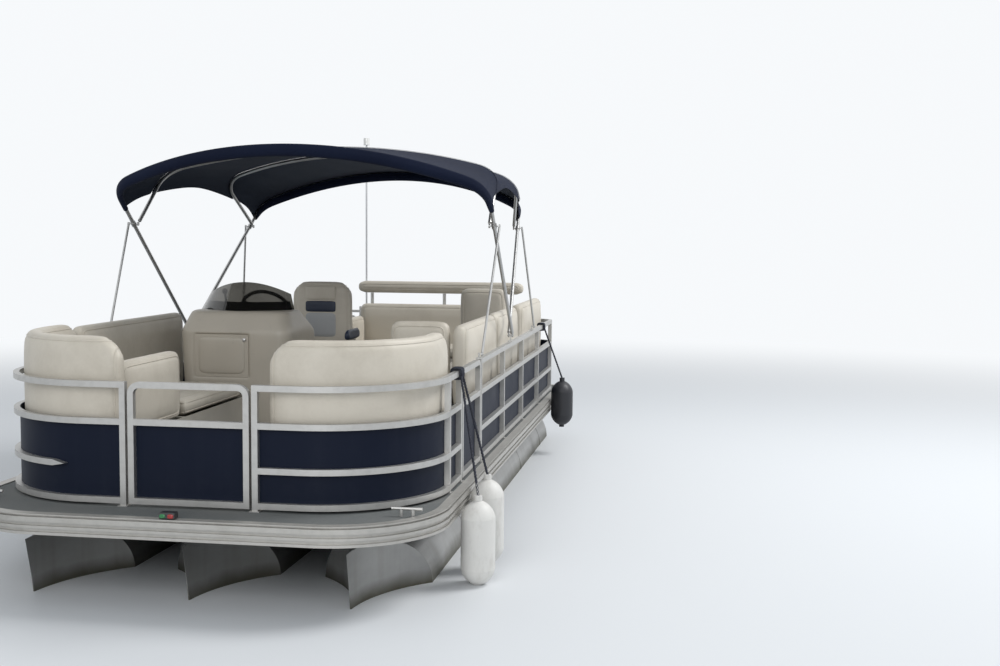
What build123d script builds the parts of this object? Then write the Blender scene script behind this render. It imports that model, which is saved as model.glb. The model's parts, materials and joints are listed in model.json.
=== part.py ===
from build123d import *
import math
import os

os.makedirs("parts", exist_ok=True)

# A 6.1 m pontoon boat on three tubes. Bow towards -Y, port towards +X, Z up from the keel strips.
# All sizes are millimetres.

# Deck and rub rail
deck_length = 6100
deck_width = 2590
deck_thickness = 30
deck_bow_radius = 560
deck_stern_radius = 150
rub_height = 104
rub_wall = 14
rub_rib = 12
rub_lip = 30
lip_thickness = 5

# Pontoons
pontoon_radius = 305
pontoon_spacing = 870
keel_height = 12
keel_width = 60
bow_setback = 170
stern_setback = 110
nose_length = 640
nose_rake = 110
nose_rise = 190
riser_height = 48
riser_width = 150
cross_pitch = 406
cross_height = 100
cross_width = 60
cross_wall = 6

# Fence
fence_side_setback = 60
fence_bow_setback = 270
fence_stern_setback = 270
fence_radius = 650
stern_radius = 160
fence_height = 640
second_rail = 445
third_rail = 213
rail_point_turn = 16
rail_point = 78
bottom_rail = 30
tube = 32
foot_plate = 5
foot_plate_width = 54
panel_thickness = 3
gap = 0.3

# Gates, measured from the centreline or from the bow fence
bow_gate_half = 337
port_gate_start = 1000
port_gate_end = 1620
stern_gate_port = -640
stern_gate_starboard = -1160
gate_clearance = 7
gate_arch = 62
hinge_reach = 13
hinge_pin = 4.5
hinge_play = 0.06
hinge_sleeve = 8
hinge_length = 60

# Bimini top
mount_from_bow = 2950
mount_rise = 46
eye_offset = 14
bow_tube = 12.7
shoulder_radius = 240
front_lean = -49
rear_lean = 52
front_inner_lean = 48
rear_inner_lean = -50
front_crown = 1975
rear_crown = 1960
inner_crown = 2035
knuckle_height = 1490
knuckle_offset = 32
canopy_thickness = 3
canopy_gap = 3.5
canopy_hem = 40
brace_tube = 9
front_brace_from_bow = 1620
rear_brace_from_bow = 4100

# Seats, heights above the deck
base_height = 330
seat_thickness = 105
base_wall = 8
back_height = 865
back_thickness = 115
cushion_edge = 26
seat_hinge_gap = 6

# Console and chair
console_inboard = 695
console_front = 2020
console_depth = 660
console_width = 800
console_shoulder = 760
console_height = 900
screen_height = 1092
wheel_radius = 190
wheel_rim = 13
wheel_tilt = 35
chair_inboard = 825
chair_from_bow = 3450
chair_half = 250
chair_back_height = 1055

# Outboard motor, stored tilted up
tilt_setback = 450
tilt_drop = 100
tilt_rest = 60

# Places that follow from the sizes above
tube_axis = keel_height + pontoon_radius
tube_top = tube_axis + pontoon_radius
riser_top = tube_top + riser_height
deck_bottom = riser_top + cross_height
deck_top = deck_bottom + deck_thickness
bow_edge = -deck_length / 2
stern_edge = deck_length / 2
fence_side = deck_width / 2 - fence_side_setback
fence_bow = bow_edge + fence_bow_setback
fence_stern = stern_edge - fence_stern_setback
nose = bow_edge + bow_setback
tail = stern_edge - stern_setback
tilt_y = stern_edge + tilt_setback
tilt_z = deck_top - tilt_drop
console_x = console_inboard - fence_side
chair_x = chair_inboard - fence_side
fence_top = deck_top + fence_height + tube / 2
side_end_bow = fence_bow + port_gate_start - gate_clearance
side_start_aft = fence_bow + port_gate_end + gate_clearance


def behind_bow(distance):
    """Y of a place measured aft from the bow fence."""
    return fence_bow + distance


def save(part, name):
    part.label = name
    export_step(part, f"parts/{name}.step")


def block(x, y, z, edge=0.0, along=None):
    """A box between two corners, its edges rounded: all of them, or those along one axis."""
    with BuildPart() as solid:
        with Locations(((x[0] + x[1]) / 2, (y[0] + y[1]) / 2, (z[0] + z[1]) / 2)):
            Box(abs(x[1] - x[0]), abs(y[1] - y[0]), abs(z[1] - z[0]))
        if edge:
            fillet(solid.edges() if along is None else solid.edges().filter_by(along), edge)
    return solid.part


def cushion(x, y, z, edge):
    """A soft block: every edge rounded but those of its foot."""
    with BuildPart() as solid:
        add(block(x, y, z))
        levels = solid.edges().group_by(Axis.Z)
        fillet(levels[1] + levels[2], edge)
    return solid.part


def rod(start, end, radius):
    """A straight round bar between two points."""
    run = Vector(*end) - Vector(*start)
    with BuildPart() as solid:
        with BuildSketch(Plane(origin=start, z_dir=run)):
            Circle(radius)
        extrude(amount=run.length)
    return solid.part


# Pontoons: a round tube cut to a sharp stem by a plan-view ogive and a raked side profile
def pontoon(centre):
    ogive_radius = (nose_length**2 + pontoon_radius**2) / (2 * pontoon_radius)
    with BuildPart() as hull:
        with BuildSketch(Plane.XZ.offset(-tail)):
            with Locations((centre, tube_axis)):
                Circle(pontoon_radius)
        extrude(amount=tail - nose)
        with BuildSketch(Plane.XY):
            with BuildLine():
                for side in (1, -1):
                    RadiusArc(
                        (centre, nose),
                        (centre + side * pontoon_radius, nose + nose_length),
                        side * ogive_radius,
                    )
                    Line(
                        (centre + side * pontoon_radius, nose + nose_length),
                        (centre + side * pontoon_radius, tail),
                    )
                Line((centre + pontoon_radius, tail), (centre - pontoon_radius, tail))
            make_face()
        extrude(amount=tube_top + 1, mode=Mode.INTERSECT)
        with BuildSketch(Plane.YZ.offset(centre - pontoon_radius - 1)):
            with BuildLine():
                Line((nose, tube_top), (tail, tube_top))
                Line((tail, tube_top), (tail, keel_height))
                Line((tail, keel_height), (nose + nose_length, keel_height))
                ThreePointArc(
                    (nose + nose_length, keel_height),
                    (nose + 0.45 * nose_length, keel_height + 0.24 * nose_rise),
                    (nose + nose_rake, keel_height + nose_rise),
                )
                Line((nose + nose_rake, keel_height + nose_rise), (nose, tube_top))
            make_face()
        extrude(amount=2 * pontoon_radius + 2, mode=Mode.INTERSECT)
        add(
            block(
                (centre - keel_width / 2, centre + keel_width / 2),
                (nose + nose_length, tail),
                (0, keel_height + 4),
            )
        )
    return hull.part


for side_name, centre in (("port", pontoon_spacing), ("centre", 0), ("starboard", -pontoon_spacing)):
    save(pontoon(centre), f"{side_name}_pontoon")


# Risers, a saddle extrusion along each tube, and the open cross channels they carry
riser_start = bow_edge + 760
riser_end = stern_edge - 200
riser_hollow = 26
cross_start = riser_start + 30
cross_length = deck_width - 80
cross_count = int((riser_end - riser_start - cross_width) / cross_pitch) + 1
with BuildPart() as cross_members:
    for centre in (-pontoon_spacing, 0, pontoon_spacing):
        with BuildSketch(Plane.XZ.offset(-riser_end)):
            with BuildLine():
                Polyline(
                    (centre - riser_width / 2, tube_top - 14),
                    (centre - riser_width / 3, riser_top),
                    (centre + riser_width / 3, riser_top),
                    (centre + riser_width / 2, tube_top - 14),
                    close=True,
                )
            make_face()
            with Locations((centre, tube_axis)):
                Circle(pontoon_radius + gap, mode=Mode.SUBTRACT)
            with Locations((centre, riser_top - riser_height / 2)):
                Rectangle(riser_width / 2, riser_height - riser_hollow, mode=Mode.SUBTRACT)
        extrude(amount=riser_end - riser_start)
    for index in range(cross_count):
        with BuildSketch(Plane.YZ.offset(-cross_length / 2)):
            with Locations((cross_start + index * cross_pitch, (riser_top + deck_bottom) / 2)):
                Rectangle(cross_width, deck_bottom - riser_top - 2 * gap)
            with Locations((cross_start + index * cross_pitch + cross_wall, (riser_top + deck_bottom) / 2)):
                Rectangle(cross_width, deck_bottom - riser_top - 2 * cross_wall, mode=Mode.SUBTRACT)
        extrude(amount=cross_length)
save(cross_members.part, "cross_members")


# Deck and rub rail follow one outline, grown or shrunk from the deck's edge
def deck_outline(growth, height):
    with BuildSketch(Plane.XY.offset(height)) as outline:
        Rectangle(deck_width + 2 * growth, deck_length + 2 * growth)
        fillet(outline.vertices().group_by(Axis.Y)[0], deck_bow_radius + growth)
        fillet(outline.vertices().group_by(Axis.Y)[-1], deck_stern_radius + growth)
    return outline.sketch


with BuildPart() as deck:
    extrude(deck_outline(0, deck_bottom), amount=deck_thickness)
save(deck.part, "deck")

rub_bottom = deck_top - rub_height
ribs = (
    # growth, height, start above the foot
    (rub_wall, rub_height, 0),
    (rub_wall + rub_rib, 14, 4),
    (rub_wall + rub_rib, 14, 36),
    (rub_wall + rub_rib + 6, 26, 70),
)
with BuildPart() as rub_rail:
    for growth, height, start in ribs:
        extrude(deck_outline(growth, rub_bottom + start), amount=height)
    extrude(deck_outline(gap, rub_bottom), amount=rub_height, mode=Mode.SUBTRACT)
    extrude(deck_outline(rub_wall + rub_rib, deck_top + gap), amount=lip_thickness)
    extrude(deck_outline(-rub_lip, deck_top), amount=lip_thickness + 1, mode=Mode.SUBTRACT)
    extrude(deck_outline(rub_wall, deck_top - 1), amount=gap + 1)
    extrude(deck_outline(gap, deck_top - 2), amount=gap + 2, mode=Mode.SUBTRACT)
save(rub_rail.part, "rub_rail")

# Motor pod: an open-topped welded box that carries the transom behind the deck
pod_width = 460
pod_wall = 8
pod_front = tail + gap
pod_rear = tilt_y - 78
pod_top = deck_top - rub_height - 4
pod_bottom = 150
with BuildPart() as motor_pod:
    with BuildSketch(Plane.YZ.offset(-pod_width / 2)):
        with BuildLine():
            Polyline(
                (pod_front, pod_bottom + 60),
                (pod_rear - 60, pod_bottom),
                (pod_rear, pod_top),
                (pod_front, pod_top),
                close=True,
            )
        make_face()
    extrude(amount=pod_width)
    with BuildSketch(Plane.YZ.offset(-pod_width / 2 + pod_wall)):
        with BuildLine():
            Polyline(
                (pod_front + pod_wall, pod_bottom + 60 + pod_wall),
                (pod_rear - 105, pod_bottom + pod_wall),
                (pod_rear - 46, pod_top + 1),
                (pod_front + pod_wall, pod_top + 1),
                close=True,
            )
        make_face()
    extrude(amount=pod_width - 2 * pod_wall, mode=Mode.SUBTRACT)
save(motor_pod.part, "motor_pod")


# Plan paths of the fence, drawn at any inset from the tubes' centreline
def bow_path(side, inset=0.0, trim=0.0):
    """From the bow gate round the corner to the side gate's front post."""
    start = bow_gate_half + gate_clearance + trim
    x = side * (fence_side - inset)
    y = fence_bow + inset
    with BuildLine() as path:
        Line((side * start, y), (side * (fence_side - fence_radius), y))
        TangentArc(
            (side * (fence_side - fence_radius), y),
            (x, fence_bow + fence_radius),
            tangent=(side, 0),
        )
        Line((x, fence_bow + fence_radius), (x, side_end_bow))
    return path.edges()


def port_path(inset=0.0, trim=0.0):
    """From the side gate aft and round the stern corner to the stern gate."""
    with BuildLine() as path:
        Line((fence_side - inset, side_start_aft + trim), (fence_side - inset, fence_stern - stern_radius))
        TangentArc(
            (fence_side - inset, fence_stern - stern_radius),
            (fence_side - stern_radius, fence_stern - inset),
            tangent=(0, 1),
        )
        Line(
            (fence_side - stern_radius, fence_stern - inset),
            (stern_gate_port + gate_clearance + trim, fence_stern - inset),
        )
    return path.edges()


def starboard_path(inset=0.0):
    with BuildLine() as path:
        Line((-fence_side + inset, side_end_bow + tube + 2), (-fence_side + inset, fence_stern + tube / 2))
    return path.edges()


def short_path():
    """The starboard bow corner from where the third rail stops short, to the side gate's line."""
    with BuildLine() as path:
        CenterArc(
            (fence_radius - fence_side, fence_bow + fence_radius), fence_radius, 180, 90 - rail_point_turn
        )
        Line((-fence_side, fence_bow + fence_radius), (-fence_side, side_end_bow))
    return path.edges()


def fence_section(path, posts, third_path=None):
    """Four rails along a path, and a post with its foot plate at each place."""
    with BuildPart() as section:
        for height in (bottom_rail, third_rail, second_rail, fence_height):
            with BuildSketch(Plane.XY.offset(deck_top + height - tube / 2)):
                trace(third_path if third_path and height == third_rail else path, tube)
            extrude(amount=tube)
        for x, y, turn in posts:
            for width, top in ((tube, fence_height), (foot_plate_width, foot_plate)):
                with BuildSketch(Plane.XY.offset(deck_top + gap)):
                    with Locations((x, y)):
                        Rectangle(width, width, rotation=turn)
                extrude(amount=top - gap)
    return section.part


def gate(origin, direction, width):
    """An arched tube frame with a rail; its local X runs from the hinge edge to the latch edge."""
    face = Plane(origin=origin, x_dir=direction, z_dir=Vector(*direction).cross(Vector(0, 0, 1)))
    upper_foot = deck_top + second_rail + tube / 2
    lower_top = upper_foot - tube
    with BuildPart() as frame:
        with BuildSketch(face) as ring:
            with Locations((width / 2, (gate_foot + fence_top) / 2)):
                Rectangle(width, fence_top - gate_foot)
            fillet(ring.vertices().group_by(Axis.Y)[-1], gate_arch)
            with BuildSketch(mode=Mode.SUBTRACT) as window:
                with Locations((width / 2, (upper_foot + fence_top - tube) / 2)):
                    Rectangle(width - 2 * tube, fence_top - tube - upper_foot)
                fillet(window.vertices().group_by(Axis.Y)[-1], gate_arch - tube)
            with Locations((width / 2, (gate_foot + tube + lower_top) / 2)):
                Rectangle(width - 2 * tube, lower_top - gate_foot - tube, mode=Mode.SUBTRACT)
        extrude(amount=tube / 2, both=True)
    return frame.part


hinge_heights = (deck_top + 130, deck_top + 350)
gate_foot = deck_top + 14
panel_offset = tube / 2 + gap + panel_thickness / 2
panel_low = deck_top + bottom_rail - tube / 2
panel_top = deck_top + second_rail + tube / 2
hinge_line = tube / 2 + hinge_reach
lug = 5


# Each gate: where its hinge line stands, the way it runs from there, and the way inboard
gates = {
    "bow_gate": ((-bow_gate_half, fence_bow), (1, 0, 0), (0, 1, 0), 2 * bow_gate_half),
    "port_gate": (
        (fence_side, behind_bow(port_gate_end)),
        (0, -1, 0),
        (-1, 0, 0),
        port_gate_end - port_gate_start,
    ),
    "stern_gate": (
        (stern_gate_port, fence_stern),
        (-1, 0, 0),
        (0, -1, 0),
        stern_gate_port - stern_gate_starboard,
    ),
}


def along(place, run, distance, inward, depth):
    """The XY point a distance along a gate and a depth inboard of it."""
    return (
        place[0] + run[0] * distance + inward[0] * depth,
        place[1] + run[1] * distance + inward[1] * depth,
    )


def flat_block(corner_a, corner_b, z):
    return block((corner_a[0], corner_b[0]), (corner_a[1], corner_b[1]), z)


pins = {}
for name, (place, run, inward, span) in gates.items():
    axis = along(place, run, 0, inward, hinge_line)
    width = span - 2 * gate_clearance
    with BuildPart() as gate_frame:
        add(gate((*along(place, run, gate_clearance, inward, 0), 0), run, width))
        for height in hinge_heights:
            z = (height - hinge_length / 2, height + hinge_length / 2)
            with Locations((*axis, height)):
                Cylinder(hinge_sleeve, hinge_length)
            add(flat_block(axis, along(place, run, tube / 2 + gate_clearance, inward, hinge_line - lug), z))
            add(flat_block(
                along(place, run, gate_clearance + 2, inward, tube / 2 - 1),
                along(place, run, tube / 2 + gate_clearance, inward, hinge_line - lug),
                z,
            ))
        for height in hinge_heights:
            with Locations((*axis, height)):
                Cylinder(hinge_pin + hinge_play, hinge_length + 2, mode=Mode.SUBTRACT)
    save(gate_frame.part, name)

    with BuildPart() as gate_panel:
        add(flat_block(
            along(place, run, gate_clearance + tube, inward, panel_offset - panel_thickness / 2),
            along(place, run, span - gate_clearance, inward, panel_offset + panel_thickness / 2),
            (panel_low, panel_top),
        ))
    save(gate_panel.part, f"{name}_panel")

    with BuildPart() as hinge_post:
        for height in hinge_heights:
            with Locations((*axis, height)):
                Cylinder(hinge_pin, hinge_length + 26)
            for end in (-1, 1):
                near = height + end * (hinge_length / 2 + 3)
                z = (min(near, near + end * 10), max(near, near + end * 10))
                add(flat_block(
                    along(place, run, 0, inward, hinge_line + lug),
                    along(place, run, -gate_clearance - tube / 2, inward, tube / 2 - 1),
                    z,
                ))
    pins[name] = hinge_post.part


# Fence sections, each with the pins of the gate that hangs on it
bow_post = bow_gate_half + gate_clearance + tube / 2


def bow_posts(side):
    """A post beside the gate, one where the corner ends and one ahead of the side gate."""
    return [
        (side * bow_post, fence_bow, 0),
        (side * fence_side, fence_bow + fence_radius, 0),
        (side * fence_side, side_end_bow - tube / 2, 0),
    ]


port_pitch = (fence_stern - stern_radius - side_start_aft - tube) / 4
port_posts = [(fence_side, side_start_aft + tube / 2 + step * port_pitch, 0) for step in range(5)]
port_posts += [(stern_gate_port + gate_clearance + tube / 2, fence_stern, 0), (280, fence_stern, 0)]
with BuildPart() as fence_port:
    add(fence_section(bow_path(1), bow_posts(1)))
    add(fence_section(port_path(), port_posts))
    add(pins["port_gate"])
    add(pins["stern_gate"])
save(fence_port.part, "fence_port")

starboard_pitch = (fence_stern - side_end_bow - 1.5 * tube - 2) / 5
starboard_posts = [
    (-fence_side, side_end_bow + 1.5 * tube + 2 + step * starboard_pitch, 0) for step in range(6)
]
with BuildPart() as fence_starboard:
    add(fence_section(bow_path(-1), bow_posts(-1), short_path()))
    turn = math.radians(rail_point_turn)
    inward = Vector(math.sin(turn), math.cos(turn), 0)
    tip_way = Vector(math.cos(turn), -math.sin(turn), 0)
    corner = Vector(fence_radius - fence_side, fence_bow + fence_radius, deck_top + third_rail)
    with BuildSketch(Plane(origin=corner - inward * fence_radius, x_dir=tip_way, z_dir=inward)):
        with BuildLine():
            Polyline((-1, tube / 2), (rail_point, 0), (-1, -tube / 2), close=True)
        make_face()
    extrude(amount=tube / 2, both=True)
    add(fence_section(starboard_path(), starboard_posts))
    add(pins["bow_gate"])
save(fence_starboard.part, "fence_starboard")


# Navy panels on the inner face of the rails
def panel(path):
    with BuildPart() as sheet:
        with BuildSketch(Plane.XY.offset(panel_low)):
            trace(path, panel_thickness)
        extrude(amount=panel_top - panel_low)
    return sheet.part


panel_trim = 20
with BuildPart() as fence_panels:
    for side in (1, -1):
        add(panel(bow_path(side, panel_offset, panel_trim)))
    add(panel(port_path(panel_offset, panel_trim)))
    add(panel(starboard_path(panel_offset)))
save(fence_panels.part, "fence_panels")


# Bimini top: four bows, two pivoting on the rail mounts and two on knuckles part way up those
mount_y = behind_bow(mount_from_bow)
mount_z = fence_top + mount_rise


def lean_plane(y, z, lean):
    """A plane across the boat whose local Y rises at a lean from vertical, aft positive."""
    turn = math.radians(lean)
    return Plane(origin=(0, y, z), x_dir=(1, 0, 0), z_dir=(0, -math.cos(turn), math.sin(turn)))


def on_lean(y, z, lean, distance):
    turn = math.radians(lean)
    return (y + distance * math.sin(turn), z + distance * math.cos(turn))


def reach(height, z, lean):
    """How far up a leaning plane a height above the deck lies."""
    return (deck_top + height - z) / math.cos(math.radians(lean))


class Bow:
    """A bent tube in a leaning plane: straight legs, shoulder bends and a wide crown arc, all tangent."""

    def __init__(self, y, z, lean, foot, half_width, crown, rise):
        self.y = y
        self.z = z
        self.lean = lean
        self.foot = foot
        self.half_width = half_width
        self.crown = reach(crown, z, lean)
        self.rise = rise
        inner = half_width - shoulder_radius
        self.crown_radius = (inner**2 + rise**2 - shoulder_radius**2) / (2 * (rise - shoulder_radius))

    def plane(self, shift=0.0):
        return lean_plane(self.y + shift, self.z, self.lean)

    def leg_x(self, distance):
        """X of a leg's centreline at a distance up the plane."""
        return self.foot + (self.half_width - self.foot) * distance / (self.crown - self.rise)

    def points(self, offset=0.0):
        """Leg top, shoulder middle, shoulder end and crown, at an offset outside the centreline."""
        centre_x = self.half_width - shoulder_radius
        centre_y = self.crown - self.rise
        crown_centre = self.crown - self.crown_radius
        swing = math.atan2(centre_x, centre_y - crown_centre)
        half_bend = (math.pi / 2 - swing) / 2
        shoulder = shoulder_radius + offset
        crown = self.crown_radius + offset
        return (
            (centre_x + shoulder, centre_y),
            (centre_x + shoulder * math.cos(half_bend), centre_y + shoulder * math.sin(half_bend)),
            (crown * math.sin(swing), crown_centre + crown * math.cos(swing)),
            (0, self.crown + offset),
        )


def mirrored(point):
    return (-point[0], point[1])


def draw_crown(leg_top, middle, end, crown):
    """Shoulder, crown and shoulder arcs between the two leg tops."""
    ThreePointArc(leg_top, middle, end)
    ThreePointArc(end, crown, mirrored(end))
    ThreePointArc(mirrored(end), mirrored(middle), mirrored(leg_top))


def crosswise_pin(x, y, z, radius, length):
    """A cylinder across the boat with its middle at x."""
    with BuildPart() as solid:
        with BuildSketch(Plane.YZ.offset(x)):
            with Locations((y, z)):
                Circle(radius)
        extrude(amount=length / 2, both=True)
    return solid.part


eye_radius = 13
eye_thickness = 10
pin_radius = 5
pin_play = 0.06
eye_gap = 32
knuckle_radius = 18
knuckle_length = 34
knuckle_pin = 4


def eye(x, y, z, lean, tube_start, hole):
    """A flat eye round a crosswise pin, with a neck that runs up into the tube's foot."""
    neck_end = on_lean(y, z, lean, eye_gap + 4)
    with BuildPart() as solid:
        add(crosswise_pin(x, y, z, eye_radius, eye_thickness))
        add(rod((x, y, z), (tube_start, *neck_end), eye_thickness / 2 - 0.5))
        add(crosswise_pin(x, y, z, hole, eye_thickness + 2), mode=Mode.SUBTRACT)
    return solid.part


def bow_frame(bow, hole):
    """The whole bow: bent tube and an eye at each foot."""
    leg_top, middle, end, crown = bow.points()
    foot = (bow.leg_x(eye_gap), eye_gap)
    plane = bow.plane()
    with BuildPart() as frame:
        with BuildLine(plane):
            draw_crown(leg_top, middle, end, crown)
        with BuildSketch(Plane(origin=plane.from_local_coords(Vector(*leg_top, 0)), z_dir=plane.y_dir)):
            Circle(bow_tube)
        sweep()
        for side in (1, -1):
            bend = plane.from_local_coords(Vector(side * leg_top[0], leg_top[1], 0))
            start = plane.from_local_coords(Vector(side * foot[0], foot[1], 0))
            add(rod(tuple(start), tuple(bend), bow_tube))
            with Locations(bend):
                Sphere(bow_tube)
            add(eye(side * bow.foot, bow.y, bow.z, bow.lean, side * foot[0], hole))
    return frame.part


def knuckles(bow, distance):
    """Collars on a main bow's legs; each carries a pin for an inner bow's eye and a brace stub."""
    y, z = on_lean(bow.y, bow.z, bow.lean, distance)
    below = on_lean(bow.y, bow.z, bow.lean, distance - knuckle_length / 2)
    above = on_lean(bow.y, bow.z, bow.lean, distance + knuckle_length / 2)
    with BuildPart() as collars:
        for side in (1, -1):
            x = bow.leg_x(distance)
            add(rod((side * x, *below), (side * x, *above), knuckle_radius))
            add(crosswise_pin(side * (x - knuckle_offset / 2), y, z, knuckle_pin, knuckle_offset + 12))
            add(crosswise_pin(side * (x + 12), y, z, knuckle_pin, 28))
    return collars.part


front_spread = 23
rear_spread = -117
front_inner_spread = -23
rear_inner_spread = -70
front_bow = Bow(
    mount_y, mount_z, front_lean, fence_side + eye_offset, fence_side + front_spread, front_crown, 500
)
rear_bow = Bow(
    mount_y, mount_z, rear_lean, fence_side - eye_offset, fence_side + rear_spread, rear_crown, 560
)
front_knuckle = reach(knuckle_height, mount_z, front_lean)
rear_knuckle = reach(knuckle_height, mount_z, rear_lean)
front_inner_bow = Bow(
    *on_lean(mount_y, mount_z, front_lean, front_knuckle),
    front_inner_lean,
    front_bow.leg_x(front_knuckle) - knuckle_offset,
    fence_side + front_inner_spread,
    inner_crown,
    420,
)
rear_inner_bow = Bow(
    *on_lean(mount_y, mount_z, rear_lean, rear_knuckle),
    rear_inner_lean,
    rear_bow.leg_x(rear_knuckle) - knuckle_offset,
    fence_side + rear_inner_spread,
    inner_crown,
    440,
)

for name, bow, hole, knuckle in (
    ("bimini_front_bow", front_bow, pin_radius + pin_play, front_knuckle),
    ("bimini_rear_bow", rear_bow, pin_radius + pin_play, rear_knuckle),
    ("bimini_front_inner_bow", front_inner_bow, knuckle_pin + pin_play, None),
    ("bimini_rear_inner_bow", rear_inner_bow, knuckle_pin + pin_play, None),
):
    with BuildPart() as bimini_bow:
        add(bow_frame(bow, hole))
        if knuckle:
            add(knuckles(bow, knuckle))
    save(bimini_bow.part, name)

# Braces stand on the rail and stop just outboard of the knuckle's stub
brace_eye_offset = 20
brace_feet = {"front": behind_bow(front_brace_from_bow), "rear": behind_bow(rear_brace_from_bow)}
brace_tops = {
    "front": (front_bow.leg_x(front_knuckle) + 36, front_inner_bow.y, front_inner_bow.z),
    "rear": (rear_bow.leg_x(rear_knuckle) + 36, rear_inner_bow.y, rear_inner_bow.z),
}
brace_z = fence_top + 30
for place in ("front", "rear"):
    with BuildPart() as braces:
        for side in (1, -1):
            foot = Vector(side * (fence_side + brace_eye_offset), brace_feet[place], brace_z)
            top = Vector(side * brace_tops[place][0], *brace_tops[place][1:])
            toward = (top - foot).normalized()
            add(rod(tuple(foot + toward * 9), tuple(top - toward * 9), brace_tube - 1))
            for end in (foot, top):
                add(crosswise_pin(*end, eye_radius - 1, eye_thickness))
            add(crosswise_pin(*foot, knuckle_pin + pin_play, eye_thickness + 2), mode=Mode.SUBTRACT)
    save(braces.part, f"{place}_braces")

# Rail mounts: a saddle, an upright web and a crosswise pin for the bows or a brace
web = 8
saddle_length = 64
with BuildPart() as bimini_mounts:
    for side in (1, -1):
        for y, z, pin_from, pin_to, radius in (
            (mount_y, mount_z, -eye_offset - 10, eye_offset + 10, pin_radius),
            (brace_feet["front"], brace_z, 0, brace_eye_offset + 10, knuckle_pin),
            (brace_feet["rear"], brace_z, 0, brace_eye_offset + 10, knuckle_pin),
        ):
            add(block(
                (side * (fence_side - tube / 2), side * (fence_side + tube / 2)),
                (y - saddle_length / 2, y + saddle_length / 2),
                (fence_top, fence_top + 8),
            ))
            add(block(
                (side * (fence_side - web / 2), side * (fence_side + web / 2)),
                (y - 12, y + 12),
                (fence_top + 7, z + 9),
            ))
            add(crosswise_pin(side * (fence_side + (pin_from + pin_to) / 2), y, z, radius, pin_to - pin_from))
save(bimini_mounts.part, "bimini_mounts")


# Canopy: three thin panels, each lofted between the curves of two neighbouring bows
def canopy_section(bow, shift):
    inner = (bow_tube + canopy_gap) / math.cos(math.radians(bow.lean))
    outer = inner + canopy_thickness / math.cos(math.radians(bow.lean))
    inside = bow.points(inner)
    outside = bow.points(outer)
    hem_inside = (inside[0][0], inside[0][1] - canopy_hem)
    hem_outside = (outside[0][0], outside[0][1] - canopy_hem)
    with BuildSketch(bow.plane(shift)) as section:
        with BuildLine():
            draw_crown(*outside)
            Line(outside[0], hem_outside)
            Line(hem_outside, hem_inside)
            Line(hem_inside, inside[0])
            draw_crown(*inside)
            Line(mirrored(inside[0]), mirrored(hem_inside))
            Line(mirrored(hem_inside), mirrored(hem_outside))
            Line(mirrored(hem_outside), mirrored(outside[0]))
        make_face()
    return section.sketch


edge_spread = 14
for name, ahead, behind, ahead_shift, behind_shift in (
    ("canopy_front", front_bow, front_inner_bow, -edge_spread, -gap),
    ("canopy_middle", front_inner_bow, rear_inner_bow, gap, -gap),
    ("canopy_rear", rear_inner_bow, rear_bow, gap, edge_spread),
):
    with BuildPart() as canopy:
        loft([canopy_section(ahead, ahead_shift), canopy_section(behind, behind_shift)], ruled=True)
    save(canopy.part, name)


# Furniture bases: hollow moulded boxes with an open top, their bow corner following the fence
def base(x, y, corner=None, corner_radius=0.0):
    with BuildPart() as tub:
        for shrink, low, high, mode in (
            (0, 0, base_height, Mode.ADD),
            (base_wall, base_wall, base_height + 1, Mode.SUBTRACT),
        ):
            with BuildSketch(Plane.XY.offset(deck_top + gap + low)) as outline:
                with Locations(((x[0] + x[1]) / 2, (y[0] + y[1]) / 2)):
                    Rectangle(abs(x[1] - x[0]) - 2 * shrink, abs(y[1] - y[0]) - 2 * shrink)
                if corner:
                    chosen = outline.vertices().sort_by_distance((*corner, deck_top))[0]
                    fillet(chosen, corner_radius - shrink)
            extrude(amount=high - low, mode=mode)
    return tub.part


def seat_lid(x, y, hinge_side):
    """A cushion on a board, its hinge edge a half round about the hinge line."""
    low = deck_top + base_height + 2 * gap
    high = low + seat_thickness
    bull = seat_thickness / 2
    with BuildPart() as lid:
        if hinge_side in ("+X", "-X"):
            back = x[1] if hinge_side == "+X" else x[0]
            front = x[0] if hinge_side == "+X" else x[1]
            inward = math.copysign(1, front - back)
            add(block((front, back + inward * bull), y, (low, high)))
            with BuildSketch(Plane.XZ.offset(-y[1])):
                with Locations((back + inward * bull, low + bull)):
                    Circle(bull)
            extrude(amount=y[1] - y[0])
        else:
            add(block(x, (y[0], y[1] - bull), (low, high)))
            with BuildSketch(Plane.YZ.offset(x[0])):
                with Locations((y[1] - bull, low + bull)):
                    Circle(bull)
            extrude(amount=x[1] - x[0])
    return lid.part


cushion_low = deck_top + base_height + 2 * gap
cushion_high = cushion_low + seat_thickness
furniture_inset = 55
bow_furniture = behind_bow(furniture_inset)
bow_seat_inner = 430
outer_x = fence_side - furniture_inset
bow_port_end = behind_bow(940)
chaise_end = behind_bow(1930)
corner_seat_end = behind_bow(958)
base_radius = fence_radius - furniture_inset
divider = 30

with BuildPart() as bow_bases:
    for side, end in ((1, bow_port_end), (-1, chaise_end)):
        add(base(
            (side * bow_seat_inner, side * outer_x),
            (bow_furniture, end),
            (side * outer_x, bow_furniture),
            base_radius,
        ))
    add(block(
        (-outer_x + base_wall / 2, -bow_seat_inner - base_wall / 2),
        (corner_seat_end - divider / 2 + 6, corner_seat_end + divider / 2 + 6),
        (deck_top + base_wall, deck_top + base_height + gap),
    ))
save(bow_bases.part, "bow_bases")

bow_back_inset = 39
back_outer = fence_side - bow_back_inset
arm_width = 125
arm_height = 740


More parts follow.
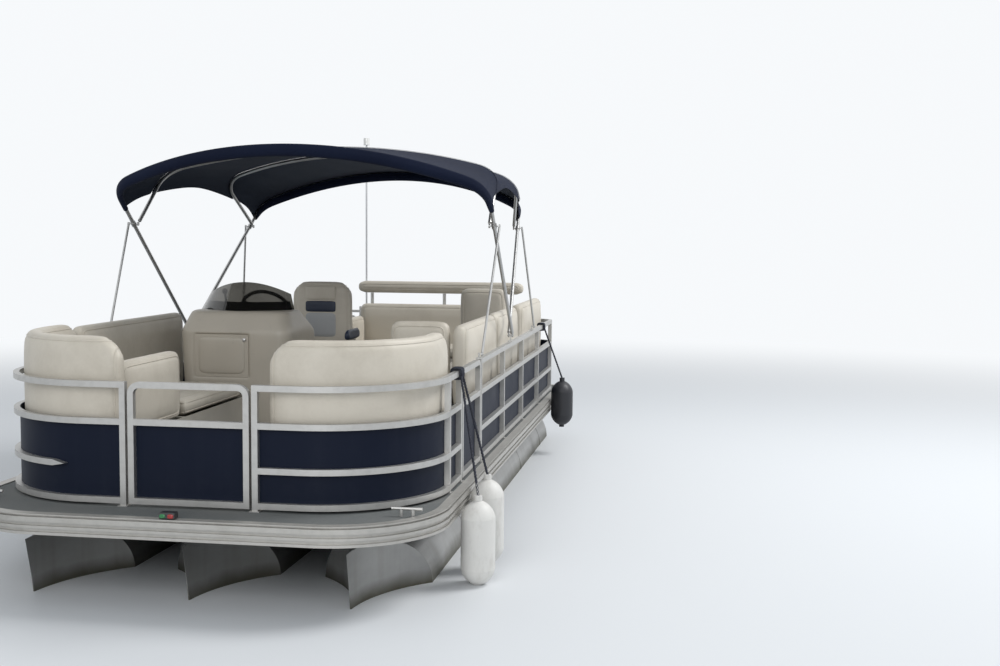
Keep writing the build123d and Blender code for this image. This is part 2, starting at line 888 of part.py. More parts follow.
def corner_seat(side, y_end):
    """The lid seat in a bow corner: hinged beside the armrest, its outer corner follows the backrest."""
    inner = bow_seat_inner + arm_width
    outer = back_outer - back_thickness - seat_hinge_gap
    front = fence_bow + bow_back_inset + back_thickness + seat_hinge_gap
    bull = seat_thickness / 2
    corner = (side * (fence_side - fence_radius), fence_bow + fence_radius)
    corner_radius = corner[1] - front
    with BuildPart() as cushion:
        add(block((side * (inner + bull), side * outer), (front, y_end), (cushion_low, cushion_high)))
        with BuildSketch(Plane.XZ.offset(-y_end)):
            with Locations((side * (inner + bull), cushion_low + bull)):
                Circle(bull)
        extrude(amount=y_end - front)
        with BuildSketch(Plane.XY.offset(cushion_low)):
            with Locations(corner):
                Circle(corner_radius)
            with Locations((side * (inner + outer) / 2, (corner[1] + y_end) / 2)):
                Rectangle(outer - inner, y_end - corner[1])
        extrude(amount=seat_thickness, mode=Mode.INTERSECT)
    return cushion.part


save(corner_seat(1, bow_port_end), "bow_seat_port")
save(corner_seat(-1, corner_seat_end), "bow_seat_starboard")


def corner_back(side, y_end):
    """A backrest that follows the fence from the gate round the corner, and the gate-side armrest."""
    inset = bow_back_inset + back_thickness / 2
    x = side * (fence_side - inset)
    y = fence_bow + inset
    front = fence_bow + bow_back_inset + back_thickness + seat_hinge_gap
    start = bow_seat_inner - back_overhang
    with BuildPart() as back:
        with BuildLine() as path:
            Line((side * start, y), (side * (fence_side - fence_radius), y))
            TangentArc(
                (side * (fence_side - fence_radius), y), (x, fence_bow + fence_radius), tangent=(side, 0)
            )
            Line((x, fence_bow + fence_radius), (x, y_end))
        with BuildSketch(Plane.XY.offset(cushion_low)):
            trace(path.edges(), back_thickness)
        extrude(amount=deck_top + bow_back_height - cushion_low)
        ends = back.edges().group_by(Axis.Z)[-1].filter_by(lambda edge: edge.length < back_thickness + 1)
        fillet(ends, back_end_radius)
        rims = back.edges().filter_by(lambda edge: edge.length > back_thickness + 1)
        fillet([edge for edge in rims if edge.center().Z > cushion_low + 1], back_edge)
        add(cushion(
            (side * bow_seat_inner, side * (bow_seat_inner + arm_width - seat_hinge_gap)),
            (front, front + arm_length),
            (cushion_low, deck_top + arm_height),
            cushion_edge,
        ))
    return back.part


back_overhang = 30
back_edge = 45
back_end_radius = 140
bow_back_height = 890
arm_length = 780
chaise_back_end = 2520

with BuildPart() as bow_back_port:
    add(corner_back(1, bow_port_end))
save(bow_back_port.part, "bow_back_port")

with BuildPart() as bow_back_starboard:
    add(corner_back(-1, corner_seat_end))
    add(cushion(
        (-back_outer, -back_outer + back_thickness),
        (corner_seat_end + 12, behind_bow(chaise_back_end)),
        (cushion_low, deck_top + back_height),
        back_edge,
    ))
save(bow_back_starboard.part, "bow_back_starboard")

# The starboard bow seat runs on aft as a chaise
seat_outer = back_outer - back_thickness - seat_hinge_gap
with BuildPart() as chaise_seat:
    add(seat_lid((-seat_outer, -bow_seat_inner), (corner_seat_end + 12, chaise_end), "-X"))
save(chaise_seat.part, "chaise_seat")

# Port lounge: two lid seats, side backrests and a backrest across each end.
# The side backs stand inboard of the rear braces, which fold down along the rail.
side_back_inset = 80
lounge_depth = 525
lounge_start = behind_bow(1650)
lounge_end = behind_bow(4150)
cross_back = 135
lounge_split = (lounge_start + lounge_end) / 2
side_back_outer = fence_side - side_back_inset
side_back_inner = side_back_outer - back_thickness
lounge_inner = side_back_outer - lounge_depth
with BuildPart() as lounge_base:
    add(base((lounge_inner, side_back_outer), (lounge_start, lounge_end)))
save(lounge_base.part, "lounge_base")

lid_outer = side_back_inner - seat_hinge_gap
for name, start, end in (
    ("lounge_seat_front", lounge_start + cross_back + 8, lounge_split - 4),
    ("lounge_seat_aft", lounge_split + 4, lounge_end - cross_back - 8),
):
    with BuildPart() as lounge_seat:
        add(seat_lid((lounge_inner, lid_outer), (start, end), "+X"))
    save(lounge_seat.part, name)

with BuildPart() as lounge_backs:
    for start, end in ((lounge_start + 4, lounge_split - 30), (lounge_split + 30, lounge_end - 200)):
        add(cushion(
            (side_back_inner, side_back_outer), (start, end), (cushion_low, deck_top + back_height), back_edge
        ))
    for start, height in ((lounge_start, 885), (lounge_end - cross_back, 1000)):
        add(cushion(
            (lounge_inner + 10, side_back_inner - 4),
            (start, start + cross_back),
            (cushion_low, deck_top + height),
            back_edge,
        ))
save(lounge_backs.part, "lounge_backs")

# Stern bench: an L of two bases, two lid seats, backrests and a padded bar above
bench_start = behind_bow(4850)
bench_end = behind_bow(5430)
bench_starboard = -600
bench_back = bench_end - back_thickness
side_base_start = lounge_end + 10
with BuildPart() as bench_bases:
    add(base((bench_starboard, side_back_outer), (bench_start, bench_end)))
    add(base((lounge_inner, side_back_outer), (side_base_start, bench_start - 4)))
save(bench_bases.part, "bench_bases")

bench_arm = 110
with BuildPart() as bench_seat:
    add(seat_lid(
        (bench_starboard + bench_arm + 8, side_back_inner - 8),
        (bench_start, bench_back - seat_hinge_gap),
        "+Y",
    ))
save(bench_seat.part, "bench_seat")

with BuildPart() as bench_side_seat:
    add(seat_lid((lounge_inner, lid_outer), (side_base_start + 4, bench_start - 8), "+X"))
save(bench_side_seat.part, "bench_side_seat")

bar_low = 880
bar_high = 1000
with BuildPart() as bench_backs:
    for x, y, height in (
        ((bench_starboard + 30, side_back_inner - 8), (bench_back, bench_end), 790),
        ((bench_starboard, bench_starboard + bench_arm), (bench_start, bench_back - seat_hinge_gap), 680),
        ((side_back_inner, side_back_outer), (side_base_start + 4, bench_end), back_height),
    ):
        add(cushion(x, y, (cushion_low, deck_top + height), back_edge - 5))
    add(block(
        (bench_starboard - 20, 980),
        (bench_end - 15, bench_end + 100),
        (deck_top + bar_low, deck_top + bar_high),
        back_edge,
    ))
save(bench_backs.part, "bench_backs")


# Console: a lofted shell with a sloping dash and an open storage space behind the front door
console_y = behind_bow(console_front) + console_depth / 2
front = console_y - console_depth / 2
dash_start = console_y + 60
dash_end = console_y + console_depth / 2 + 1
dash_foot = 690
door_width = 400
door_x = console_x - 85
door_low = 445
door_high = 748
door_gap = 6
door_thickness = 12
door_y = front + 6
door_barrel = 5
door_pin = 2.5
door_pin_inside = 24
door_pin_seat = 10
locker_lip = 20
locker_end = console_y + 130


def console_section(height, width, depth, shift):
    with BuildSketch(Plane.XY.offset(deck_top + height)) as section:
        with Locations((console_x, console_y + shift)):
            RectangleRounded(width, depth, 90)
    return section.sketch


def dash_height(y):
    """Height of the dash slope above the deck."""
    return console_height - (console_height - dash_foot) * (y - dash_start) / (dash_end - dash_start)


console_sections = (
    # height, width, depth, shift aft
    (gap, console_width - 80, console_depth - 60, -30),
    (console_shoulder, console_width, console_depth, 0),
    (console_height, console_width - 100, console_depth - 100, 30),
)
hinge_x = door_x - door_width / 2 + door_gap
hinge_foot = deck_top + door_low + door_gap
hinge_head = deck_top + door_high - door_gap
with BuildPart() as console:
    loft([console_section(*row) for row in console_sections], ruled=True)
    with BuildSketch(Plane.YZ.offset(console_x - console_width)):
        with BuildLine():
            Polyline(
                (dash_start, deck_top + console_height + 1),
                (dash_end, deck_top + dash_foot),
                (dash_end, deck_top + console_height + 1),
                close=True,
            )
        make_face()
    extrude(amount=2 * console_width, mode=Mode.SUBTRACT)
    add(
        block(
            (door_x - door_width / 2, door_x + door_width / 2),
            (front - 20, door_y + door_thickness + gap),
            (deck_top + door_low, deck_top + door_high),
        ),
        mode=Mode.SUBTRACT,
    )
    add(
        block(
            (door_x - door_width / 2 + locker_lip, door_x + door_width / 2 - locker_lip),
            (front, locker_end),
            (deck_top + door_low + locker_lip, deck_top + door_high - locker_lip),
        ),
        mode=Mode.SUBTRACT,
    )
    for start, end in (
        (deck_top + door_low - door_pin_seat, hinge_foot + door_pin_inside),
        (hinge_head - door_pin_inside, deck_top + door_high + door_pin_seat),
    ):
        add(rod((hinge_x, door_y, start), (hinge_x, door_y, end), door_pin))
save(console.part, "console")

with BuildPart() as console_door:
    add(block(
        (hinge_x, door_x + door_width / 2 - door_gap),
        (door_y, door_y + door_thickness),
        (hinge_foot, hinge_head),
    ))
    add(rod((hinge_x, door_y, hinge_foot), (hinge_x, door_y, hinge_head), door_barrel))
    add(
        rod((hinge_x, door_y, hinge_foot - 1), (hinge_x, door_y, hinge_head + 1), door_pin + hinge_play),
        mode=Mode.SUBTRACT,
    )
save(console_door.part, "console_door")


# Windscreen: a smoked shell lofted between two arcs and trimmed to a domed top edge
screen_wall = 5
screen_base_half = 335
screen_top_half = 262
screen_end_drop = 120
screen_foot_y = console_y - 235
screen_foot_sag = 210
screen_top_y = console_y - 75
screen_top_sag = 140
screen_reach = screen_base_half + 10
screen_low = deck_top + console_height
screen_corner = deck_top + screen_height - screen_end_drop


def screen_section(height, half_width, sag, y):
    with BuildSketch(Plane.XY.offset(deck_top + height)) as section:
        with BuildLine() as arc:
            ThreePointArc(
                (console_x - half_width, y + sag), (console_x, y), (console_x + half_width, y + sag)
            )
        trace(arc.edges(), screen_wall)
    return section.sketch


with BuildPart() as windscreen:
    loft([
        screen_section(console_height + gap, screen_base_half, screen_foot_sag, screen_foot_y),
        screen_section(screen_height, screen_top_half, screen_top_sag, screen_top_y),
    ])
    with BuildSketch(Plane.XZ.offset(-console_y - console_depth)):
        with BuildLine():
            ThreePointArc(
                (console_x - screen_reach, screen_corner),
                (console_x, deck_top + screen_height - 1),
                (console_x + screen_reach, screen_corner),
            )
            Polyline(
                (console_x + screen_reach, screen_corner),
                (console_x + screen_reach, screen_low),
                (console_x - screen_reach, screen_low),
                (console_x - screen_reach, screen_corner),
            )
        make_face()
    extrude(amount=2 * console_depth, mode=Mode.INTERSECT)
save(windscreen.part, "windscreen")

# Steering wheel on its column, square to an axis that points aft and up
wheel_axis = Vector(0, math.cos(math.radians(wheel_tilt)), math.sin(math.radians(wheel_tilt)))
column_length = 130
column_radius = 24
wheel_boss = 5
wheel_hub = 46
wheel_spoke = 30
column_x = console_x + 20
column_y = console_y + 200
wheel_base = Vector(column_x, column_y, deck_top + dash_height(column_y) - 10)
wheel_centre = wheel_base + wheel_axis * column_length
wheel_plane = Plane(origin=wheel_centre, x_dir=(1, 0, 0), z_dir=wheel_axis)
rim_plane = Plane(
    origin=wheel_plane.from_local_coords(Vector(wheel_radius, 0, 0)), z_dir=(0, -wheel_axis.Z, wheel_axis.Y)
)
with BuildPart() as steering_wheel:
    with BuildSketch(wheel_plane):
        Circle(wheel_hub)
        with PolarLocations(0, 3, start_angle=90):
            with Locations((wheel_radius / 2, 0)):
                Rectangle(wheel_radius, wheel_spoke)
    extrude(amount=wheel_boss, both=True)
    with BuildLine(wheel_plane):
        CenterArc((0, 0), wheel_radius, 0, 360)
    with BuildSketch(rim_plane):
        Circle(wheel_rim)
    sweep()
save(steering_wheel.part, "steering_wheel")

throttle_x = console_x - 260
throttle_y = console_y + 130
throttle_z = deck_top + dash_height(throttle_y)
throttle_half = 30
lever_x = throttle_x + throttle_half + 8
lever_foot = throttle_z + 55
lever_head = throttle_z + 165
lever_radius = 8
knob_radius = 20
with BuildPart() as helm_fittings:
    column_top = wheel_base + wheel_axis * (column_length - wheel_boss - gap)
    add(rod(tuple(wheel_base), tuple(column_top), column_radius))
    add(block(
        (throttle_x - throttle_half, throttle_x + throttle_half),
        (throttle_y - throttle_half, throttle_y + throttle_half),
        (throttle_z - 50, throttle_z + 85),
        12,
    ))
    add(crosswise_pin(throttle_x + throttle_half + 6, throttle_y, lever_foot, 14, 20))
    add(rod((lever_x, throttle_y, lever_foot), (lever_x, throttle_y - 30, lever_head), lever_radius))
    with Locations((lever_x, throttle_y - 32, lever_head + 5)):
        Sphere(knob_radius)
    add(console.part, mode=Mode.SUBTRACT)
save(helm_fittings.part, "helm_fittings")

# Helm chair on a pedestal: a moulded pan with an upright at each side for the armrests
chair_y = behind_bow(chair_from_bow)
seat_low = deck_top + 400
foot_disc = 10
foot_radius = 150
chair_column = 38
chair_head = 70
column_height = 340
column_cap = 12
chair_foot = deck_top + column_height + column_cap - 1 + 2 * gap
chair_seat_height = 110
arm_clear = 6
arm_pad = 62
arm_low = deck_top + 600
arm_high = deck_top + 690
upright = 25
chair_pan = chair_half - 35
chair_corner = 120
chair_edge = 40
with BuildPart() as helm_pedestal:
    with Locations((chair_x, chair_y, deck_top + gap + foot_disc / 2)):
        Cylinder(foot_radius, foot_disc)
    with Locations((chair_x, chair_y, deck_top + gap + column_height / 2)):
        Cylinder(chair_column, column_height)
    with Locations((chair_x, chair_y, deck_top + gap + column_height + column_cap / 2 - 1)):
        Cylinder(chair_head, column_cap)
save(helm_pedestal.part, "helm_pedestal")

with BuildPart() as chair_shell:
    add(block(
        (chair_x - chair_half, chair_x + chair_half),
        (chair_y - 200, chair_y + 235),
        (chair_foot, seat_low - gap),
        chair_edge,
        Axis.Z,
    ))
    for side in (1, -1):
        add(block(
            (chair_x + side * (chair_half - 12), chair_x + side * (chair_half + arm_clear + upright)),
            (chair_y - 60, chair_y + 190),
            (chair_foot, seat_low - gap),
        ))
        add(block(
            (chair_x + side * (chair_half + arm_clear), chair_x + side * (chair_half + arm_clear + upright)),
            (chair_y - 60, chair_y + 190),
            (chair_foot, arm_low),
        ))
save(chair_shell.part, "chair_shell")

with BuildPart() as chair_back:
    with BuildSketch(Plane.XZ.offset(-chair_y - 270)) as back_outline:
        with Locations((chair_x, (seat_low + deck_top + chair_back_height) / 2)):
            Rectangle(2 * chair_half, deck_top + chair_back_height - seat_low)
        fillet(back_outline.vertices().group_by(Axis.Z)[-1], chair_corner)
    extrude(amount=back_thickness)
    fillet(chair_back.edges().filter_by(lambda edge: abs(edge.tangent_at(0.5).Y) < 0.5), chair_edge)

with BuildPart() as chair_cushions:
    add(block(
        (chair_x - chair_pan, chair_x + chair_pan),
        (chair_y - 240, chair_y + 270 - back_thickness - arm_clear),
        (seat_low, seat_low + chair_seat_height),
        chair_edge - 5,
    ))
    add(chair_back.part)
    for side in (1, -1):
        add(block(
            (chair_x + side * (chair_half + arm_clear), chair_x + side * (chair_half + arm_clear + arm_pad)),
            (chair_y - 110, chair_y + 250),
            (arm_low + gap, arm_high),
            28,
        ))
save(chair_cushions.part, "chair_cushions")


# Outboard motor. Its own frame: X port, Y aft and Z up along the motor, from the tilt axis
tilt = math.radians(tilt_rest)
motor_up = Vector(0, -math.sin(tilt), math.cos(tilt))
motor_aft = Vector(0, math.cos(tilt), math.sin(tilt))
tilt_axis = Vector(0, tilt_y, tilt_z)
steer_aft = 95


def motor_point(x, aft, up):
    return tilt_axis + Vector(x, 0, 0) + motor_aft * aft + motor_up * up


def motor_plane(up):
    """A plane square to the motor's upright axis."""
    return Plane(origin=motor_point(0, 0, up), x_dir=(1, 0, 0), z_dir=motor_up)


def motor_section(up, width, length, aft, radius):
    with BuildSketch(motor_plane(up)) as section:
        with Locations((0, aft)):
            RectangleRounded(width, length, radius)
    return section.sketch


def motor_block(x, aft, up):
    with BuildPart() as solid:
        with BuildSketch(motor_plane(up[0])):
            with Locations(((x[0] + x[1]) / 2, (aft[0] + aft[1]) / 2)):
                Rectangle(x[1] - x[0], aft[1] - aft[0])
        extrude(amount=up[1] - up[0])
    return solid.part


clamp_inner = 76
clamp_outer = 92
tilt_tube = 14
with BuildPart() as clamp_bracket:
    for side in (1, -1):
        with BuildSketch(Plane.YZ.offset(side * (clamp_inner + clamp_outer) / 2)):
            with BuildLine():
                Polyline(
                    (pod_rear + gap, tilt_z + 30),
                    (tilt_y + 18, tilt_z + 24),
                    (tilt_y + 24, tilt_z - 30),
                    (pod_rear + 30, tilt_z - 330),
                    (pod_rear + gap, tilt_z - 330),
                    close=True,
                )
            make_face()
            with Locations((tilt_y, tilt_z)):
                Circle(tilt_tube + pin_play, mode=Mode.SUBTRACT)
        extrude(amount=(clamp_outer - clamp_inner) / 2, both=True)
save(clamp_bracket.part, "clamp_bracket")

pivot_radius = 30
pivot_low = -235
pivot_high = 60
kingpin = 14
with BuildPart() as swivel_bracket:
    add(crosswise_pin(0, tilt_y, tilt_z, tilt_tube, 2 * clamp_outer + 16))
    add(motor_block((-70, 70), (-16, 60), (-16, 40)))
    add(motor_block((-22, 22), (0, steer_aft), (-180, 40)))
    with BuildSketch(motor_plane(pivot_low)):
        with Locations((0, steer_aft)):
            Circle(pivot_radius)
    extrude(amount=pivot_high - pivot_low)
    with BuildSketch(motor_plane(pivot_low - 1)):
        with Locations((0, steer_aft)):
            Circle(kingpin + pin_play)
    extrude(amount=pivot_high - pivot_low + 2, mode=Mode.SUBTRACT)
save(swivel_bracket.part, "swivel_bracket")

cowl_foot = 112
cowl_sections = (
    # height, width, length, middle aft, corner radius
    (cowl_foot, 280, 410, 225, 90),
    (cowl_foot + 60, 318, 470, 225, 105),
    (cowl_foot + 230, 330, 500, 228, 115),
    (cowl_foot + 350, 300, 450, 238, 110),
    (cowl_foot + 418, 230, 350, 246, 90),
)
with BuildPart() as motor_cowl:
    loft([motor_section(*row) for row in cowl_sections], ruled=True)
    fillet(motor_cowl.edges().sort_by_distance(motor_point(0, 246, cowl_foot + 460))[0:8], 12)
save(motor_cowl.part, "motor_cowl")

shaft_up = -575
plate_up = -412
gearcase_radius = 52
with BuildPart() as motor_leg:
    loft([
        motor_section(cowl_foot - gap, 170, 260, 255, 70),
        motor_section(plate_up, 80, 220, 250, 38),
    ])
    with BuildSketch(motor_plane(pivot_low - 20)):
        with Locations((0, steer_aft)):
            Circle(kingpin)
    extrude(amount=pivot_high - pivot_low + 40)
    add(motor_block((-36, 36), (steer_aft - 26, 200), (pivot_high + 6, pivot_high + 34)))
    add(motor_block((-36, 36), (steer_aft - 26, 200), (pivot_low - 34, pivot_low - 6)))
    add(motor_block((-95, 95), (110, 440), (plate_up - 8, plate_up + 1)))
    add(motor_block((-24, 24), (150, 330), (shaft_up, plate_up)))
    add(motor_block((-8, 8), (200, 320), (shaft_up - 150, shaft_up)))
    with BuildSketch(Plane(origin=motor_point(0, 120, shaft_up), x_dir=(1, 0, 0), z_dir=motor_aft)):
        Circle(gearcase_radius)
    extrude(amount=280)
    with Locations(motor_point(0, 120, shaft_up)):
        Sphere(gearcase_radius)
save(motor_leg.part, "motor_leg")

# Propeller: each blade is lofted through thin lens sections whose pitch eases towards the tip
hub_start = 400 + gap
hub_length = 110
hub_radius = 38
blade_sections = (
    # distance out, chord, half thickness, pitch in degrees
    (hub_radius - 8, 84, 6, 46),
    (78, 108, 5, 33),
    (116, 98, 3.5, 25),
    (148, 46, 1.5, 21),
)
propeller_plane = Plane(origin=motor_point(0, hub_start, shaft_up), x_dir=(1, 0, 0), z_dir=motor_aft)


def blade_section(middle, outward, around, chord, half_thickness, pitch):
    turn = math.radians(pitch)
    chord_way = around * math.cos(turn) + motor_aft * math.sin(turn)
    with BuildSketch(Plane(origin=middle, x_dir=chord_way, z_dir=outward)) as section:
        with BuildLine():
            ThreePointArc((-chord / 2, 0), (0, half_thickness), (chord / 2, 0))
            ThreePointArc((chord / 2, 0), (0, -half_thickness), (-chord / 2, 0))
        make_face()
    return section.sketch


with BuildPart() as propeller:
    with BuildSketch(propeller_plane):
        Circle(hub_radius)
    extrude(amount=hub_length)
    for index in range(3):
        turn = math.radians(90 + 120 * index)
        outward = propeller_plane.x_dir * math.cos(turn) + propeller_plane.y_dir * math.sin(turn)
        around = motor_aft.cross(outward)
        hub_middle = motor_point(0, hub_start + hub_length / 2, shaft_up)
        loft([
            blade_section(hub_middle + outward * distance, outward, around, chord, half_thickness, pitch)
            for distance, chord, half_thickness, pitch in blade_sections
        ])
save(propeller.part, "propeller")

# Boarding ladder, stored upright outside the stern gate and hinged clear of the rub rail
ladder_x = -900
ladder_half = 190
ladder_y = stern_edge + rub_wall + rub_rib + 6 + 22
ladder_z = deck_top + 34
ladder_length = 690
first_step = 170
step_pitch = 230
step_depth = 60
with BuildPart() as boarding_ladder:
    for side in (1, -1):
        x = ladder_x + side * ladder_half
        add(rod((x, ladder_y, ladder_z + 12), (x, ladder_y, ladder_z + ladder_length), 12))
        add(crosswise_pin(x, ladder_y, ladder_z, 16, 16))
        add(crosswise_pin(x, ladder_y, ladder_z, pin_radius + pin_play, 18), mode=Mode.SUBTRACT)
    for index in range(3):
        height = ladder_z + first_step + index * step_pitch
        add(block(
            (ladder_x - ladder_half, ladder_x + ladder_half),
            (ladder_y - 10, ladder_y + step_depth),
            (height, height + 22),
        ))
save(boarding_ladder.part, "boarding_ladder")

# Fittings on the deck: cleats, ladder brackets and the posts of the padded bar
bow_cleat_x = deck_width / 2 - 145
cleat_places = (
    (bow_cleat_x, bow_edge + 305),
    (-bow_cleat_x, bow_edge + 305),
    (deck_width / 2 - 205, stern_edge - 160),
    (-300, stern_edge - 130),
)
cleat_base = deck_top + gap
lip_top = deck_top + lip_thickness + 2 * gap
bar_post = 16
bar_y = bench_end + 42
with BuildPart() as deck_fittings:
    for x, y in cleat_places:
        for step in (-30, 30):
            add(rod((x + step, y, cleat_base), (x + step, y, cleat_base + 38), 9))
        add(crosswise_pin(x, y, cleat_base + 40, 9, 160))
    for side in (1, -1):
        x = ladder_x + side * (ladder_half + 16)
        add(block((x - 3, x + 3), (stern_edge - 24, ladder_y + 16), (lip_top, ladder_z + 16)))
        add(block((x - 20, x + 20), (stern_edge - 24, stern_edge + 24), (lip_top, lip_top + 5)))
        add(crosswise_pin(ladder_x + side * (ladder_half + 4), ladder_y, ladder_z, pin_radius, 28))
    for x in (-480, 220, 860):
        add(rod((x, bar_y, deck_top + gap), (x, bar_y, deck_top + bar_low - gap), bar_post))
        add(rod((x, bar_y, deck_top + gap), (x, bar_y, deck_top + 6), 2 * bar_post))
save(deck_fittings.part, "deck_fittings")

with BuildPart() as bow_light:
    add(block((-42, 42), (bow_edge - 20, bow_edge + 36), (lip_top, deck_top + 40), 9))
save(bow_light.part, "bow_light")

light_x = -560
light_pole_top = deck_top + 2280
with BuildPart() as stern_light:
    with Locations((light_x, fence_stern, fence_top + gap + 15)):
        Cylinder(20, 30)
    add(rod((light_x, fence_stern, fence_top + 20), (light_x, fence_stern, light_pole_top), 9))
    with Locations((light_x, fence_stern, light_pole_top + 30)):
        Cylinder(28, 66)
save(stern_light.part, "stern_light")


# Fenders: a capsule, its eye and the taut line up to a hitch round the top rail
fender_radius = 95
fender_clear = 3
fender_x = deck_width / 2 + rub_wall + rub_rib + 6 + fender_clear + fender_radius
line_radius = 5


def fender(y, top, length, tie_y):
    hitch_x = fence_side + tube / 2 + line_radius + 3
    with BuildPart() as body:
        with BuildSketch(Plane(origin=(fender_x, y, top), x_dir=(1, 0, 0), z_dir=(0, -1, 0))):
            with BuildLine():
                Line((0, 22), (0, -length - 8))
                Line((0, -length - 8), (22, -length - 8))
                Line((22, -length - 8), (22, -length + 8))
                ThreePointArc(
                    (22, -length + 8),
                    (fender_radius * 0.75, -length + 44),
                    (fender_radius, -length + 100),
                )
                Line((fender_radius, -length + 100), (fender_radius, -100))
                ThreePointArc((fender_radius, -100), (fender_radius * 0.75, -44), (22, -8))
                Line((22, -8), (22, 22))
                Line((22, 22), (0, 22))
            make_face()
        revolve(axis=Axis((fender_x, y, top), (0, 0, 1)))
        add(rod((fender_x, y, top + 16), (hitch_x, tie_y, deck_top + fence_height), line_radius))
        with BuildSketch(Plane.XZ.offset(-tie_y)):
            with Locations((fence_side, deck_top + fence_height)):
                RectangleRounded(tube + 4 * line_radius + 2, tube + 4 * line_radius + 2, 8)
                Rectangle(tube + 2 * gap, tube + 2 * gap, mode=Mode.SUBTRACT)
        extrude(amount=line_radius * 2, both=True)
    return body.part


with BuildPart() as bow_fenders:
    add(fender(behind_bow(560), deck_top - 10, 480, behind_bow(900)))
    add(fender(behind_bow(860), deck_top + 50, 500, behind_bow(940)))
save(bow_fenders.part, "bow_fenders")

with BuildPart() as stern_fender:
    add(fender(behind_bow(4730), deck_top + 175, 400, behind_bow(4730)))
save(stern_fender.part, "stern_fender")
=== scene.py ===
import itertools
import json
import math

import bmesh
import bpy
import numpy as np
from mathutils import Matrix, Vector


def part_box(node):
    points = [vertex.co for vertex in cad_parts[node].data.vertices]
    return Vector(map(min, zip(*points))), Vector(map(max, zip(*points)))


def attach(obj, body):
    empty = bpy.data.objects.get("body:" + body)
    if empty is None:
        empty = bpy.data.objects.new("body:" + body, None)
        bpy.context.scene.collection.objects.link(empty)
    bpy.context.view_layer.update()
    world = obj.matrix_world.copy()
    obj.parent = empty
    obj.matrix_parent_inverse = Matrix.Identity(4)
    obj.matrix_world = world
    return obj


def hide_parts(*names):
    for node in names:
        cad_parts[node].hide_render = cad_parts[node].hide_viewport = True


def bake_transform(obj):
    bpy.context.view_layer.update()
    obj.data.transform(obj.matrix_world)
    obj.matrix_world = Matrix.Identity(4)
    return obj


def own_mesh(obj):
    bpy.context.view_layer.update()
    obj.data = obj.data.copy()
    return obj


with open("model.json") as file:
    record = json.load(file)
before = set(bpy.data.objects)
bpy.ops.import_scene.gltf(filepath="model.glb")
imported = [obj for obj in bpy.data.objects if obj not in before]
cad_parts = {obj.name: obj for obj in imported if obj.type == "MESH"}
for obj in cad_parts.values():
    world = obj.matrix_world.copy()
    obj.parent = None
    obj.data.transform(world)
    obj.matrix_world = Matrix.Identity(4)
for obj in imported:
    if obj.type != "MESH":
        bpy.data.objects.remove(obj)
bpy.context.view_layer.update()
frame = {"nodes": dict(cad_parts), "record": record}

# A pontoon boat. All sizes are metres, in the model's own frame: bow towards -Y, port towards +X, Z up.
waterline = 0.32
deck_top = 0.800
fence_side = 1.235
fence_bow = -2.780
fence_radius = 0.650
corner_x = fence_side - fence_radius
corner_y = fence_bow + fence_radius
rail_top = 1.456
rail_tube = 0.032


# Pieces and their modifiers
def link(piece):
    bpy.context.scene.collection.objects.link(piece)
    return piece


def set_all(thing, settings):
    for setting, value in settings.items():
        setattr(thing, setting, value)


def smooth_shaded(mesh, smooth=True):
    mesh.polygons.foreach_set("use_smooth", [smooth] * len(mesh.polygons))


def mesh_piece(name, vertices, faces, material, smooth=True):
    mesh = bpy.data.meshes.new(name)
    mesh.from_pydata([tuple(v) for v in vertices], [], [tuple(f) for f in faces])
    mesh.materials.append(material)
    smooth_shaded(mesh, smooth)
    mesh.update()
    return link(bpy.data.objects.new(name, mesh))


def modified(piece, **modifiers):
    """The piece with modifiers made part of its mesh: each is a type and its settings."""
    for kind, settings in modifiers.items():
        set_all(piece.modifiers.new(kind, kind), settings)
    ready = piece.evaluated_get(bpy.context.evaluated_depsgraph_get())
    mesh = bpy.data.meshes.new_from_object(ready)
    old = piece.data
    piece.modifiers.clear()
    piece.data = mesh
    bpy.data.meshes.remove(old)
    return piece


def placed(piece, body):
    """Fixes a piece to its body."""
    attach(piece, body)
    return piece


# Camera: matched to the straight lines of the rails and the gate, in a picture 1000 pixels wide
picture_width = 1000
focal_pixels = 1250
sensor_width = 36
camera_place = (2.597, -8.857, 2.225)
camera_yaw = 0.1583
camera_pitch = 0.0773
camera_roll = 0.008


def add_camera():
    data = bpy.data.cameras.new("camera")
    data.sensor_width = sensor_width
    data.lens = sensor_width * focal_pixels / picture_width
    camera = link(bpy.data.objects.new("camera", data))
    aim = Matrix.Rotation(camera_yaw, 4, "Z") @ Matrix.Rotation(math.pi / 2 - camera_pitch, 4, "X")
    camera.matrix_world = Matrix.Translation(camera_place) @ aim @ Matrix.Rotation(camera_roll, 4, "Z")
    bpy.context.scene.camera = camera


